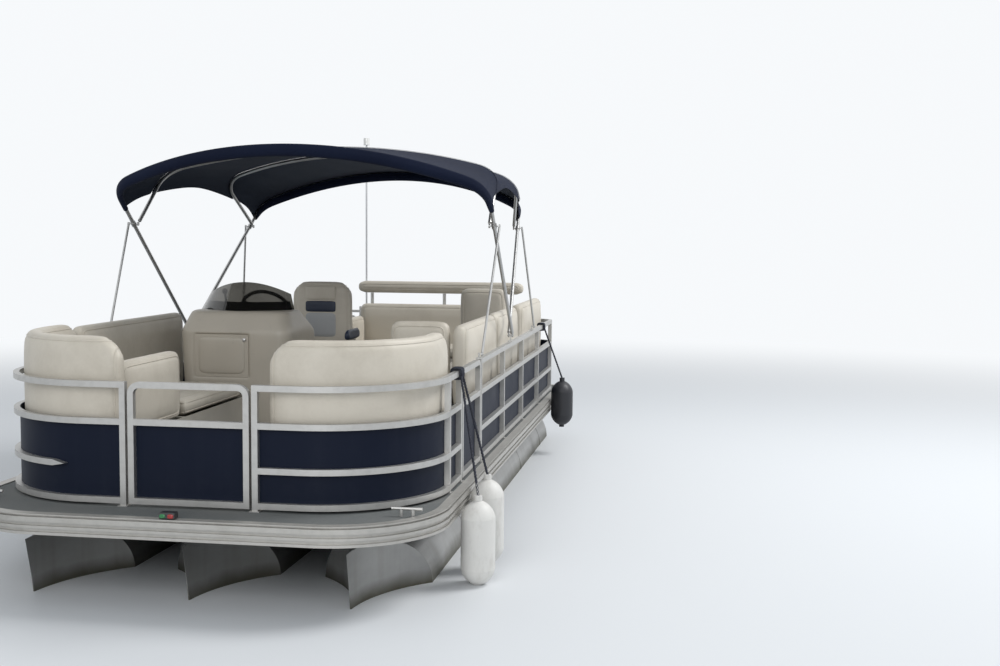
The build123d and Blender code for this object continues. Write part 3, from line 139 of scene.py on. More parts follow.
# Node trees
class Nodes:
    """The node tree of a material or a world, with short ways to add to it."""

    def __init__(self, owner):
        owner.use_nodes = True
        self.tree = owner.node_tree

    def node(self, kind, inputs=(), **settings):
        made = self.tree.nodes.new("ShaderNode" + kind)
        set_all(made, settings)
        for socket, value in dict(inputs).items():
            self.feed(made.inputs[socket], value)
        return made

    def feed(self, socket, value):
        if isinstance(value, bpy.types.NodeSocket):
            self.tree.links.new(value, socket)
        elif isinstance(value, tuple) and len(value) == 3 and socket.type == "RGBA":
            socket.default_value = (*value, 1)
        else:
            socket.default_value = value

    def combine(self, operation, a, b):
        return self.node("Math", {0: a, 1: b}, operation=operation).outputs[0]

    def spread(self, value, low, high, start=0.0, end=1.0, interpolation="LINEAR"):
        """The value's range from start to end, mapped to low to high."""
        inputs = {"Value": value, "From Min": start, "From Max": end, "To Min": low, "To Max": high}
        return self.node("MapRange", inputs, interpolation_type=interpolation).outputs["Result"]

    def seen_directly(self):
        """1 for rays from the camera, off metal or through glass, and 0 for the rays that only light."""
        path = self.node("LightPath").outputs
        either = self.combine("MAXIMUM", path["Is Camera Ray"], path["Is Glossy Ray"])
        return self.combine("MAXIMUM", either, path["Is Transmission Ray"])

    def show_mix(self, output, share, first, second):
        mix = self.node("MixShader", {"Fac": share, 1: first.outputs[0], 2: second.outputs[0]})
        self.feed(self.tree.nodes[output].inputs["Surface"], mix.outputs[0])


class Finish(Nodes):
    """One procedural material: a principled surface and the nodes that feed it, in object coordinates."""

    def __init__(self, name, colour, **sockets):
        self.material = bpy.data.materials.new(name)
        super().__init__(self.material)
        self.surface = self.tree.nodes["Principled BSDF"]
        self.place = self.node("TexCoord").outputs["Object"]
        self.colour = colour
        self.normal = None
        for socket, value in {"Base_Color": colour, **sockets}.items():
            self.feed(self.surface.inputs[socket.replace("_", " ")], value)

    def stretched(self, stretch):
        return self.node("Mapping", {"Vector": self.place, "Scale": stretch}).outputs[0]

    def noise(self, scale, detail=3.0, stretch=(1, 1, 1), roughness=0.5):
        place = self.stretched(stretch)
        inputs = {"Vector": place, "Scale": scale, "Detail": detail, "Roughness": roughness}
        return self.node("TexNoise", inputs).outputs["Fac"]

    def patches(self, scale, detail, *levels, **more):
        """Noise that is spread: its lowest and highest level, and the noise where they are reached."""
        return self.spread(self.noise(scale, detail, **more), *levels)

    def cells(self, scale, stretch=(1, 1, 1)):
        inputs = {"Vector": self.stretched(stretch), "Scale": scale}
        return self.node("TexVoronoi", inputs).outputs["Distance"]

    def waves(self, period, direction):
        """Ridges square to X, Y or Z. A wave texture repeats every pi / 10 of its scaled coordinate."""
        inputs = {"Vector": self.place, "Scale": math.pi / (10 * period)}
        return self.node("TexWave", inputs, bands_direction=direction, wave_profile="SIN").outputs["Fac"]

    def weave(self, period):
        return self.combine("MULTIPLY", self.waves(period, "X"), self.waves(period, "Y"))

    def height(self):
        return self.node("SeparateXYZ", {0: self.place}).outputs["Z"]

    def mixed(self, share, a, b):
        """Two colours mixed: sockets 6, 7 and 2 of the mix node are those for colours."""
        return self.node("Mix", {"Factor": share, 6: a, 7: b}, data_type="RGBA").outputs[2]

    def over(self, share, colour):
        """Lays a colour over the surface, by a share."""
        self.colour = self.mixed(share, self.colour, colour)
        self.feed(self.surface.inputs["Base Color"], self.colour)

    def patchy(self, colour, *noise, **more):
        """Lays a colour over the surface in patches."""
        self.over(self.patches(*noise, **more), colour)

    def rough(self, value, low, high):
        self.feed(self.surface.inputs["Roughness"], self.spread(value, low, high))

    def bump(self, value, distance, strength):
        inputs = {"Height": value, "Distance": distance, "Strength": strength}
        if self.normal:
            inputs["Normal"] = self.normal
        self.normal = self.node("Bump", inputs).outputs["Normal"]
        self.feed(self.surface.inputs["Normal"], self.normal)


# Light and floor
ambient_colour = (0.90, 0.95, 1.0)
ambient_strength = 0.50
backdrop_colour = (0.93, 0.95, 0.97)
floor_size = 160
floor_near = 5.5
floor_far = 15
LAMPS = (
    # name, place, aim, size, power
    ("key", (7.5, 1.5, 9.0), (0, 0, 1.0), 5.0, 760),
    ("front", (1.0, -12.0, 6.0), (0, 0, 1.2), 7.0, 430),
)


def add_lamps():
    for name, place, aim, size, power in LAMPS:
        data = bpy.data.lights.new(name, "AREA")
        data.shape = "DISK"
        data.size = size
        data.energy = power
        lamp = link(bpy.data.objects.new(name, data))
        lamp.location = place
        lamp.rotation_mode = "QUATERNION"
        lamp.rotation_quaternion = (Vector(aim) - Vector(place)).to_track_quat("-Z", "Y")


def add_world():
    world = bpy.data.worlds.new("studio")
    bpy.context.scene.world = world
    nodes = Nodes(world)
    ambient = nodes.tree.nodes["Background"]
    nodes.feed(ambient.inputs["Color"], ambient_colour)
    nodes.feed(ambient.inputs["Strength"], ambient_strength)
    backdrop = nodes.node("Background", {"Color": backdrop_colour, "Strength": 1.0})
    nodes.show_mix("World Output", nodes.seen_directly(), ambient, backdrop)


def add_floor():
    """A pale floor at the waterline that fades into the backdrop far from the boat."""
    finish = Finish("floor", (0.72, 0.74, 0.76), Roughness=0.55)
    glow = finish.node("Emission", {"Color": backdrop_colour})
    distance = finish.node("VectorMath", {0: finish.place}, operation="LENGTH").outputs["Value"]
    fade = finish.spread(distance, 0, 1, floor_near, floor_far, "SMOOTHSTEP")
    share = finish.combine("MULTIPLY", fade, finish.seen_directly())
    finish.show_mix("Material Output", share, finish.surface, glow)
    half = floor_size / 2
    corners = [(-half, -half), (half, -half), (half, half), (-half, half)]
    vertices = [(x, y, waterline) for x, y in corners]
    mesh_piece("floor", vertices, [(0, 1, 2, 3)], finish.material, smooth=False)


# Materials
brushed_y = (1, 0.03, 1)
brushed_z = (1, 1, 0.04)
polished = (0.12, 0.12, 0.12)
braided = (1, 1, 0.45)
rope_light = (0.055, 0.06, 0.08)
rope_shadow = (0.010, 0.011, 0.016)
fender_line_from = 0.874
lens_from = 3.082
ivory = (0.60, 0.555, 0.475)
pad_grey = (0.42, 0.43, 0.44)
navy = (0.018, 0.026, 0.048)


def shade(colour, factor):
    return tuple(c * factor for c in colour)


def hull_aluminium():
    """Dull sheet: drawn along the tube, streaked down its sides and stained below the waterline."""
    finish = Finish("hull_aluminium", (0.40, 0.40, 0.395), Metallic=0.75)
    finish.patchy((0.31, 0.31, 0.305), 2.2, 5, 0, 1, 0.35, 0.7, stretch=(1, 0.6, 1))
    finish.patchy((0.24, 0.225, 0.19), 9, 4, 0, 0.35, 0.45, 0.8, stretch=(1.6, 1.6, 0.12))
    wander = finish.combine("ADD", finish.height(), finish.patches(5, 3, -0.03, 0.03))
    finish.over(finish.spread(wander, 1, 0, waterline + 0.01, waterline + 0.09), (0.115, 0.11, 0.085))
    finish.rough(finish.noise(30, 4, (1, 0.08, 1)), 0.34, 0.62)
    finish.bump(finish.noise(60, 3, (1, 0.05, 1)), 0.0012, 0.35)
    finish.bump(finish.noise(1.6, 2), 0.01, 0.25)
    return finish.material


def anodised(name, colour, roughness, along, line_depth=0.0004):
    """Satin tube or extrusion with fine draw lines, dull spots and a little grime."""
    finish = Finish(name, colour, Metallic=0.85)
    finish.patchy(shade(colour, 0.9), 24, 5, 0, 1, 0.45, 0.75)
    grimy = tuple(c * part for c, part in zip(colour, (0.74, 0.72, 0.68)))
    finish.patchy(grimy, 5.5, 7, 0, 0.4, 0.5, 0.8, roughness=0.7)
    finish.rough(finish.noise(220, 2, along), roughness - 0.07, roughness + 0.13)
    finish.bump(finish.noise(340, 2, along), line_depth, 0.4)
    return finish.material


def deck_vinyl():
    """Woven sheet flooring, lighter where feet have worn it."""
    finish = Finish("deck_vinyl", (0.11, 0.12, 0.12), Specular_IOR_Level=0.25)
    weave = finish.weave(0.0045)
    finish.over(weave, (0.24, 0.25, 0.25))
    worn = finish.spread(finish.patches(1.7, 5, 0, 1, 0.4, 0.7), 0, 0.3)
    finish.over(worn, (0.27, 0.26, 0.24))
    finish.rough(finish.noise(40, 3), 0.68, 0.86)
    finish.bump(weave, 0.0012, 0.7)
    return finish.material


def navy_panel():
    """Gloss painted sheet, dusty towards its foot, with faint runs."""
    gloss = {"Coat_Weight": 0.04, "Coat_Roughness": 0.3, "Specular_IOR_Level": 0.10}
    finish = Finish("navy_panel", (0.005, 0.0085, 0.021), **gloss)
    runs = finish.patches(11, 4, 0, 0.5, 0.45, 0.8, stretch=(1, 1, 0.08))
    foot = finish.spread(finish.height(), 0.5, 0, deck_top, deck_top + 0.22)
    dusty = finish.combine("MULTIPLY", finish.combine("ADD", runs, foot), finish.noise(26, 5))
    finish.over(finish.spread(dusty, 0, 0.22), (0.05, 0.057, 0.07))
    finish.rough(finish.noise(5, 4), 0.42, 0.58)
    finish.bump(finish.noise(2.6, 2), 0.003, 0.2)
    return finish.material


def vinyl(name, colour, soiled):
    """Marine vinyl: fine pebble grain, soft wrinkles, grime that gathers in patches."""
    finish = Finish(name, colour, Specular_IOR_Level=0.42, Coat_Weight=0.06, Coat_Roughness=0.45)
    broad = finish.patches(2.4, 6, 0, 0.75, 0.47, 0.8, roughness=0.6)
    finish.over(finish.combine("ADD", broad, finish.patches(60, 3, -0.12, 0.12)), soiled)
    grain = finish.cells(420)
    finish.rough(grain, 0.40, 0.58)
    finish.bump(finish.noise(9, 3), 0.006, 0.25)
    finish.bump(grain, 0.0006, 0.45)
    return finish.material


def canopy_cloth(name, thread, faded):
    """Woven acrylic: a fine weave, threads of two depths and faded patches."""
    finish = Finish(name, thread, Sheen_Weight=0.03, Sheen_Roughness=0.5, Specular_IOR_Level=0.12)
    finish.patchy(faded, 1.3, 4, 0, 1, 0.35, 0.7)
    weave = finish.weave(0.0022)
    finish.over(finish.spread(weave, 0, 0.4), shade(faded, 1.4))
    finish.rough(finish.noise(90, 2), 0.78, 0.92)
    finish.bump(weave, 0.0007, 0.5)
    finish.bump(finish.noise(6, 3, (1, 0.5, 1)), 0.008, 0.3)
    return finish.material


def moulded(name, colour, roughness, worn=0.78, grain=0.0003):
    """Moulded plastic or gelcoat: light texture, scuffs and a darker bloom."""
    finish = Finish(name, colour, Coat_Weight=0.1, Coat_Roughness=0.3)
    finish.patchy(shade(colour, worn), 2.8, 5, 0, 1, 0.4, 0.75)
    finish.patchy(shade(colour, 0.55), 34, 6, 0, 0.55, 0.6, 0.85, stretch=(1, 1, 0.3), roughness=0.7)
    finish.rough(finish.noise(18, 4), roughness - 0.08, roughness + 0.12)
    finish.bump(finish.noise(300, 2), grain, 0.35)
    return finish.material


def smoked_screen():
    clear = {"Roughness": 0.06, "IOR": 1.49, "Transmission_Weight": 0.92, "Coat_Weight": 0.3}
    finish = Finish("smoked_screen", (0.085, 0.08, 0.07), **clear)
    finish.patchy((0.14, 0.135, 0.12), 4, 5, 0, 1, 0.4, 0.8)
    finish.bump(finish.noise(8, 2), 0.0008, 0.1)
    return finish.material


def rope():
    """Braided line: two slanting sets of strands."""
    finish = Finish("dark_rope", rope_shadow, Specular_IOR_Level=0.2)
    strands = finish.cells(260, braided)
    finish.over(strands, rope_light)
    finish.rough(finish.noise(120, 2), 0.75, 0.92)
    finish.bump(strands, 0.0015, 0.8)
    return finish.material


def fender_vinyl():
    """Blown vinyl with scuffs, and the dark braid of its line above a height."""
    soft = {"Coat_Weight": 0.08, "Coat_Roughness": 0.35, "Specular_IOR_Level": 0.4}
    finish = Finish("white_rubber", (0.70, 0.69, 0.66), **soft)
    finish.patchy((0.46, 0.44, 0.40), 17, 6, 0, 0.7, 0.5, 0.85, stretch=(1, 1, 0.35), roughness=0.7)
    braid = finish.mixed(finish.cells(260, braided), rope_shadow, rope_light)
    finish.over(finish.combine("GREATER_THAN", finish.height(), fender_line_from), braid)
    finish.rough(finish.noise(22, 4), 0.42, 0.62)
    finish.bump(finish.noise(14, 3), 0.002, 0.3)
    return finish.material


def lamp_pole():
    """A satin pole with a pale lens at its top."""
    finish = Finish("lamp_pole", (0.62, 0.63, 0.64), Metallic=0.3)
    finish.patchy((0.45, 0.45, 0.45), 60, 4, 0, 0.3, 0.5, 0.8)
    finish.over(finish.combine("GREATER_THAN", finish.height(), lens_from), (0.78, 0.78, 0.76))
    finish.rough(finish.noise(40, 3), 0.25, 0.4)
    finish.bump(finish.noise(200, 2, brushed_z), 0.0002, 0.3)
    return finish.material


def lens(name, colour):
    """Tinted moulded lens with fine ribs."""
    finish = Finish(name, colour, Coat_Weight=0.6, Coat_Roughness=0.08)
    ribs = finish.waves(0.003, "Z")
    finish.over(ribs, shade(colour, 0.45))
    finish.rough(ribs, 0.12, 0.3)
    finish.bump(ribs, 0.0006, 0.6)
    return finish.material


MATERIALS = {
    "hull_aluminium": hull_aluminium(),
    "deck_vinyl": deck_vinyl(),
    "trim_aluminium": anodised("trim_aluminium", (0.47, 0.46, 0.435), 0.5, brushed_y),
    "rail_aluminium": anodised("rail_aluminium", (0.50, 0.495, 0.48), 0.4, brushed_y),
    "navy_panel": navy_panel(),
    "bow_tube": anodised("bow_tube", (0.46, 0.46, 0.455), 0.36, polished, 0.00002),
    "moulded_base": moulded("moulded_base", (0.46, 0.43, 0.375), 0.5),
    "seat_vinyl": vinyl("seat_vinyl", ivory, (0.43, 0.385, 0.315)),
    "console_shell": moulded("console_shell", (0.45, 0.41, 0.345), 0.42, 0.9),
    "smoked_screen": smoked_screen(),
    "black_trim": moulded("black_trim", (0.018, 0.018, 0.02), 0.5),
    "pedestal_metal": anodised("pedestal_metal", (0.55, 0.55, 0.55), 0.3, brushed_z),
    "motor_bracket": moulded("motor_bracket", (0.022, 0.023, 0.026), 0.34, 0.8, 0.00006),
    "motor_cowl_paint": moulded("motor_cowl_paint", (0.010, 0.011, 0.014), 0.17, 0.9, 0.00002),
    "propeller_metal": moulded("propeller_metal", (0.03, 0.03, 0.033), 0.3, 1.6, 0.00006),
    "light_housing": moulded("light_housing", (0.03, 0.03, 0.032), 0.3),
    "white_rubber": fender_vinyl(),
    "black_rubber": moulded("black_rubber", (0.012, 0.013, 0.018), 0.45),
}
navy_vinyl = vinyl("navy_vinyl", navy, shade(navy, 1.8))
grey_vinyl = vinyl("grey_vinyl", pad_grey, shade(pad_grey, 0.7))
piping_vinyl = vinyl("piping_vinyl", ivory, (0.45, 0.405, 0.335))
cloth_outside = canopy_cloth("canopy_outside", (0.0045, 0.0075, 0.021), (0.0085, 0.0135, 0.034))
cloth_inside = canopy_cloth("canopy_inside", (0.019, 0.025, 0.040), (0.029, 0.037, 0.056))
dark_rope = rope()
dial_face = moulded("dial_face", (0.012, 0.012, 0.013), 0.35)
dial_mark = moulded("dial_mark", (0.75, 0.74, 0.70), 0.5)
red_lens = lens("red_lens", (0.45, 0.012, 0.010))
green_lens = lens("green_lens", (0.008, 0.24, 0.06))
NODE_MATERIALS = {"stern_light": lamp_pole()}
SLOT_OF = {row["node"]: row["material_slot"] for row in frame["record"]["subparts"]}
BODIES = frame["record"]["behaviour"]["bodies"]
BODY_OF = {name: body for body, members in BODIES.items() for name in members}


def finish_nodes():
    """Every CAD node that stays shown gets the material of its slot."""
    for name, node in frame["nodes"].items():
        material = NODE_MATERIALS.get(name) or MATERIALS.get(SLOT_OF[name])
        if material:
            node.data.materials.clear()
            node.data.materials.append(material)


# Meshes, lines on them and round strands
def split_node(name):
    """The solids of a CAD node as (vertices, faces), sorted from the bow and then from starboard."""
    whole = bmesh.new()
    whole.from_mesh(frame["nodes"][name].data)
    bmesh.ops.remove_doubles(whole, verts=whole.verts, dist=1e-5)
    left = set(whole.verts)
    solids = []
    while left:
        reached = {left.pop()}
        queue = list(reached)
        while queue:
            vertex = queue.pop()
            new = {edge.other_vert(vertex) for edge in vertex.link_edges} - reached
            reached |= new
            queue += new
        left -= reached
        index = {vertex: i for i, vertex in enumerate(sorted(reached, key=lambda v: v.index))}
        faces = sorted({face for vertex in reached for face in vertex.link_faces}, key=lambda f: f.index)
        corners = [[index[vertex] for vertex in face.verts] for face in faces]
        solids.append(([vertex.co.copy() for vertex in index], corners))
    whole.free()

    def nearest(solid):
        return [round(min(vertex[axis] for vertex in solid[0]), 2) for axis in (1, 0)]

    return sorted(solids, key=nearest)


def vectors(mesh, kind="co"):
    """The places of a mesh's vertices, or with the kind "normal" their normals."""
    flat = np.zeros(len(mesh.vertices) * 3, np.float32)
    mesh.vertices.foreach_get(kind, flat)
    return flat.reshape(-1, 3).astype(float)


def write_places(mesh, points):
    mesh.vertices.foreach_set("co", points.astype(np.float32).ravel())
    mesh.update()


def lengths_along(points):
    """How far each point of a line lies from its start, along the line."""
    steps = np.linalg.norm(np.diff(points, axis=0), axis=1)
    return np.concatenate([[0], np.cumsum(steps)])


def at_lengths(points, along, places):
    """Points of a line at other lengths along it."""
    return np.stack([np.interp(places, along, points[:, i]) for i in range(3)], 1)


def isolines(mesh, field, value, allowed):
    """The lines on a mesh where a field has a value, as lists of points."""
    mesh.calc_loop_triangles()
    corners = np.zeros(len(mesh.loop_triangles) * 3, np.int32)
    mesh.loop_triangles.foreach_get("vertices", corners)
    triangles = corners.reshape(-1, 3)
    points = vectors(mesh)
    level = field(points) - value
    usable = allowed(points, vectors(mesh, "normal"))
    above = level > 0
    mixed = (above[triangles].sum(1) % 3 != 0) & usable[triangles].all(1)
    crossings = {}
    neighbours = {}
    for triangle in triangles[mixed]:
        ends = []
        for a, b in ((0, 1), (1, 2), (2, 0)):
            i, j = sorted((int(triangle[a]), int(triangle[b])))
            if above[i] != above[j]:
                share = level[i] / (level[i] - level[j])
                crossings[i, j] = points[i] + (points[j] - points[i]) * share
                ends.append((i, j))
        neighbours.setdefault(ends[0], []).append(ends[1])
        neighbours.setdefault(ends[1], []).append(ends[0])
    runs = []
    for keys, closed in chained(neighbours):
        runs += thinned(np.array([crossings[key] for key in keys]), closed)
    return runs


def chained(neighbours):
    """Walks through linked keys: open runs from their ends first, then closed ones."""
    runs = []
    visited = set()
    for start in [key for key in neighbours if len(neighbours[key]) == 1] + list(neighbours):
        if start in visited:
            continue
        run = []
        following = [start]
        while following:
            run.append(following[0])
            visited.add(following[0])
            following = [key for key in neighbours[run[-1]] if key not in visited]
        runs.append((run, len(run) > 3 and run[0] in neighbours[run[-1]]))
    return runs


def thinned(points, closed, spacing=0.018, rounds=3):
    """The run in a list, smoothed and evenly spaced; a short one is left out; a ring ends on its start."""
    for _ in range(rounds):
        if closed:
            points = (np.roll(points, 1, 0) + 2 * points + np.roll(points, -1, 0)) / 4
        elif len(points) > 2:
            points[1:-1] = (points[:-2] + 2 * points[1:-1] + points[2:]) / 4
    if closed:
        points = np.vstack([points, points[:1]])
    along = lengths_along(points)
    if along[-1] < 4 * spacing:
        return []
    return [at_lengths(points, along, np.linspace(0, along[-1], int(along[-1] / spacing) + 1))]


def ring_angles(sides):
    return [2 * math.pi * step / sides for step in range(sides)]


def ring_faces(first, second, sides, turn=0):
    """Faces from one ring of vertices to another, each ring known by its first vertex."""
    faces = []
    for step in range(sides):
        following = (step + 1) % sides
        near = (first + (step + turn) % sides, first + (following + turn) % sides)
        faces.append((*near, second + following, second + step))
    return faces


def end_faces(first, last, sides):
    return [tuple(reversed(range(first, first + sides))), tuple(range(last, last + sides))]


def grid_faces(rows, columns):
    """Faces of a grid of vertices that are listed row by row."""
    starts = [row * columns + column for row in range(rows - 1) for column in range(columns - 1)]
    return [(start, start + 1, start + columns + 1, start + columns) for start in starts]


# A direction that no strand runs along
off_axis = (0.3, 0.5, 0.8)


def tubes(name, runs, radius, material, sides=6):
    """Round strands along lists of points, as one mesh; a run that ends on its start is a closed ring."""
    vertices = []
    faces = []
    for run in runs:
        closed = np.linalg.norm(run[0] - run[-1]) < 1e-6
        points = run[:-1] if closed else run
        tangents = np.roll(points, -1, 0) - np.roll(points, 1, 0)
        if not closed:
            tangents[0] = points[1] - points[0]
            tangents[-1] = points[-1] - points[-2]
        tangents /= np.maximum(np.linalg.norm(tangents, axis=1), 1e-9)[:, None]
        across = np.cross(tangents[0], off_axis)
        base = len(vertices)
        for point, tangent in zip(points, tangents):
            across = across - tangent * (across @ tangent)
            across = across / np.linalg.norm(across)
            other = np.cross(tangent, across)
            for angle in ring_angles(sides):
                vertices.append(point + radius * (across * math.cos(angle) + other * math.sin(angle)))
        last = len(vertices) - sides
        for ring in range(base, last, sides):
            faces += ring_faces(ring, ring + sides, sides)
        if closed:
            spokes = np.array(vertices[last:]) - points[-1]
            turn = int(np.argmax(spokes @ (vertices[base] - points[0])))
            faces += ring_faces(last, base, sides, turn)
        else:
            faces += end_faces(base, last, sides)
    return mesh_piece(name, vertices, faces, material) if faces else None


# Distances from the fence in a bow corner and along it
def beside_fence(points, side):
    """Each point's x and y as on the port side, and whether it lies in the fence's round corner."""
    x = points[:, 0] * side
    y = points[:, 1]
    return x, y, (x > corner_x) & (y < corner_y)


def fence_distance(points, side):
    """How far inside the fence's centreline each point lies, in a bow corner."""
    x, y, in_corner = beside_fence(points, side)
    round_corner = fence_radius - np.hypot(x - corner_x, y - corner_y)
    return np.where(in_corner, round_corner, np.where(y < corner_y, y - fence_bow, fence_side - x))


def fence_run(points, side):
    """Distance along the fence's centreline from the middle of the bow."""
    x, y, in_corner = beside_fence(points, side)
    turn = np.clip(np.arctan2(x - corner_x, corner_y - y), 0, math.pi / 2)
    straight = np.where(y >= corner_y, corner_x + fence_radius * math.pi / 2 + y - corner_y, x)
    return np.where(in_corner, corner_x + fence_radius * turn, straight)


# Cushions: each solid of a soft node is remeshed, blown up by a cloth simulation and seamed
voxel = 0.024
seat_rounds = 4
back_rounds = 9
swell = 0.007
cap = 0.016
box_spare = 0.003
foot_lift = 0.001
foot_clear = 0.0006
frames = 20
crease_depth = 0.005
crease_width = 0.012
piping_radius = 0.0042
piping_inset = 0.034
panel_inset = 0.085
seam_below_top = 0.026
seam_above_foot = 0.022
held_foot = 0.012
held_width = voxel * 0.6
corner_softness = 0.018
CLOTH = {
    "quality": 3,
    "mass": 0.15,
    "tension_stiffness": 12,
    "compression_stiffness": 12,
    "shear_stiffness": 6,
    "bending_stiffness": 0.8,
    "use_pressure": True,
    "uniform_pressure_force": 9.0,
    "vertex_group_mass": "pinned",
}
# Soft node: how each of its solids lies and its side, from the bow and then from starboard
SOFT_NODES = {
    "bow_seat_port": (("seat", 1),),
    "bow_seat_starboard": (("seat", -1),),
    "bow_back_port": (("corner", 1), ("along", 0)),
    "bow_back_starboard": (("corner", -1), ("along", 0), ("along", 0)),
    "chaise_seat": (("seat", 0),),
    "lounge_seat_front": (("seat", 0),),
    "lounge_seat_aft": (("seat", 0),),
    "lounge_backs": (("across", 0), ("along", 0), ("along", 0), ("across", 0)),
    "bench_seat": (("seat", 0),),
    "bench_side_seat": (("seat", 0),),
    "bench_backs": (("along", 0), ("along", 0), ("across", 0), ("across", 0)),
    "chair_cushions": (("seat", 0), ("along", 0), ("along", 0), ("across", 0)),
}
CUSHION_MATERIALS = {"chair_cushions_pad_2": navy_vinyl, "chair_cushions_pad_3": navy_vinyl}


def soft_least(distances):
    """The least of several distances, rounded where two are alike."""
    return -corner_softness * np.log(np.exp(-np.stack(distances) / corner_softness).sum(0))


def everywhere(points, normal):
    return np.ones(len(points), bool)


def on_top(points, normal):
    return normal[:, 2] > 0.6


def on_sides(points, normal):
    return np.abs(normal[:, 2]) < 0.8


def heights(points):
    return points[:, 2]


class Cushion:
    """A soft solid: how it lies, the seams across it, and its padded shape."""

    def __init__(self, name, node, solid, kind, side):
        self.name = name
        self.node = node
        self.kind = kind
        self.side = side
        self.low = np.array(solid[0]).min(0)
        self.high = np.array(solid[0]).max(0)
        self.piece = mesh_piece(name, *solid, CUSHION_MATERIALS.get(name, MATERIALS["seat_vinyl"]))

    def rim_distance(self, points):
        """How far each point lies inside the cushion's outline, seen square to its broad faces."""
        from_low = (points - self.low).T
        from_high = (self.high - points).T
        inner, outer = sorted(np.abs((self.low[0], self.high[0])))
        if self.kind == "seat" and self.side:
            from_fence = fence_distance(points, self.side) - (fence_side - outer)
            return soft_least([from_fence, self.side * points[:, 0] - inner, from_high[1]])
        if self.kind == "seat":
            return soft_least([from_low[0], from_high[0], from_low[1], from_high[1]])
        axis = 0 if self.kind == "across" else 1
        from_ends = [from_low[axis], from_high[axis]]
        if self.kind == "corner":
            ends = [(self.side * inner, self.low[1], 0), (self.side * fence_side, self.high[1], 0)]
            first, last = fence_run(np.array(ends), self.side)
            run = fence_run(points, self.side)
            from_ends = [run - first, last - run]
        return soft_least(from_ends + [from_high[2], from_low[2]])

    def seams(self):
        """Each seam as a field, the value it runs at, and the faces it may cross."""
        if self.kind != "seat":
            return [(self.rim_distance, piping_inset, everywhere)]
        return [
            (heights, self.high[2] - seam_below_top, on_sides),
            (heights, self.low[2] + seam_above_foot, on_sides),
            (self.rim_distance, panel_inset, on_top),
        ]

    def prepare(self):
        """Remeshes the solid, shrinks it a little and finds where its cloth is held."""
        rounds = seat_rounds if self.kind == "seat" else back_rounds
        remesh = {"mode": "VOXEL", "voxel_size": voxel}
        mesh = modified(self.piece, REMESH=remesh, SMOOTH={"factor": 0.5, "iterations": rounds}).data
        points = vectors(mesh)
        normal = vectors(mesh, "normal")
        now_low, now_high = points.min(0), points.max(0)
        start_low = self.low + (swell, swell, foot_lift)
        start_high = self.high - swell
        self.start = start_low + (points - now_low) * (start_high - start_low) / (now_high - now_low)
        write_places(mesh, self.start)
        self.held = self.start[:, 2] < self.low[2] + held_foot
        for field, value, allowed in self.seams():
            near = np.abs(field(self.start) - value) < held_width
            self.held |= near & allowed(self.start, normal)

    def add_cloth(self):
        group = self.piece.vertex_groups.new(name="pinned")
        group.add([int(i) for i in np.nonzero(self.held)[0]], 1.0, "REPLACE")
        cloth = self.piece.modifiers.new("cloth", "CLOTH")
        set_all(cloth.settings, CLOTH)
        cloth.settings.effector_weights.gravity = 0
        cloth.collision_settings.use_collision = False
        set_all(cloth.point_cache, {"frame_start": 1, "frame_end": frames})

    def settle(self, simulated):
        """Caps the swell, keeps to the solid's box, and adds one subdivision."""
        move = simulated - self.start
        scale = np.minimum(1, cap / np.maximum(np.linalg.norm(move, axis=1), 1e-9))
        lowest = self.low + (-box_spare, -box_spare, foot_clear)
        points = np.clip(self.start + move * scale[:, None], lowest, self.high + box_spare)
        write_places(self.piece.data, points)
        smooth_shaded(modified(self.piece, SUBSURF={"levels": 1}).data)

    def sew(self):
        """Presses the seams in and lays piping along them."""
        mesh = self.piece.data
        points = vectors(mesh)
        normal = vectors(mesh, "normal")
        press = np.zeros(len(points))
        for field, value, allowed in self.seams():
            distance = np.abs(field(points) - value) / crease_width
            press = np.maximum(press, np.exp(-distance**2) * allowed(points, normal))
        write_places(mesh, points - normal * (press * crease_depth)[:, None])
        runs = [run for seam in self.seams() for run in isolines(mesh, *seam)]
        return tubes(f"{self.name}_piping", runs, piping_radius, piping_vinyl, sides=5)


def simulated(cushions):
    """Where the cloth of each cushion lies after the last frame."""
    for cushion in cushions:
        cushion.add_cloth()
    for number in range(1, frames + 1):
        bpy.context.scene.frame_set(number)
    graph = bpy.context.evaluated_depsgraph_get()
    results = [vectors(cushion.piece.evaluated_get(graph).data) for cushion in cushions]
    for cushion in cushions:
        cushion.piece.modifiers.clear()
    bpy.context.scene.frame_set(1)
    return results


def add_cushions():
    cushions = []
    for node, kinds in SOFT_NODES.items():
        for index, (solid, (kind, side)) in enumerate(zip(split_node(node), kinds)):
            cushions.append(Cushion(f"{node}_pad_{index + 1}", node, solid, kind, side))
    for cushion in cushions:
        cushion.prepare()
    results = simulated(cushions)
    for cushion, result in zip(cushions, results):
        cushion.settle(result)
        piping = cushion.sew()
        placed(cushion.piece, BODY_OF[cushion.node])
        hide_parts(cushion.node)
        if piping:
            placed(piping, BODY_OF[cushion.node])


# Canopy: three sheets stretched between the four bows
hem_steps = 3
shoulder_steps = 9
crown_steps = 26
bow_tube = 0.0127
cloth_gap = 0.004
hem_drop = 0.095
pocket_slack = 0.052
pocket_start = math.radians(-150)
wrap_steps = 12
sheet_rows = 14
narrowing = 0.012
ripple_depth = 0.0022
ripple_count = 46
ripple_slant = 5
ribbon_half = 0.014
ribbon_lift = 0.003
cloth_thickness = 0.0016
SAGS = {"front": 0.012, "middle": 0.010, "rear": 0.016}
SCALLOPS = {"front": 0.022, "middle": 0.075, "rear": 0.030}


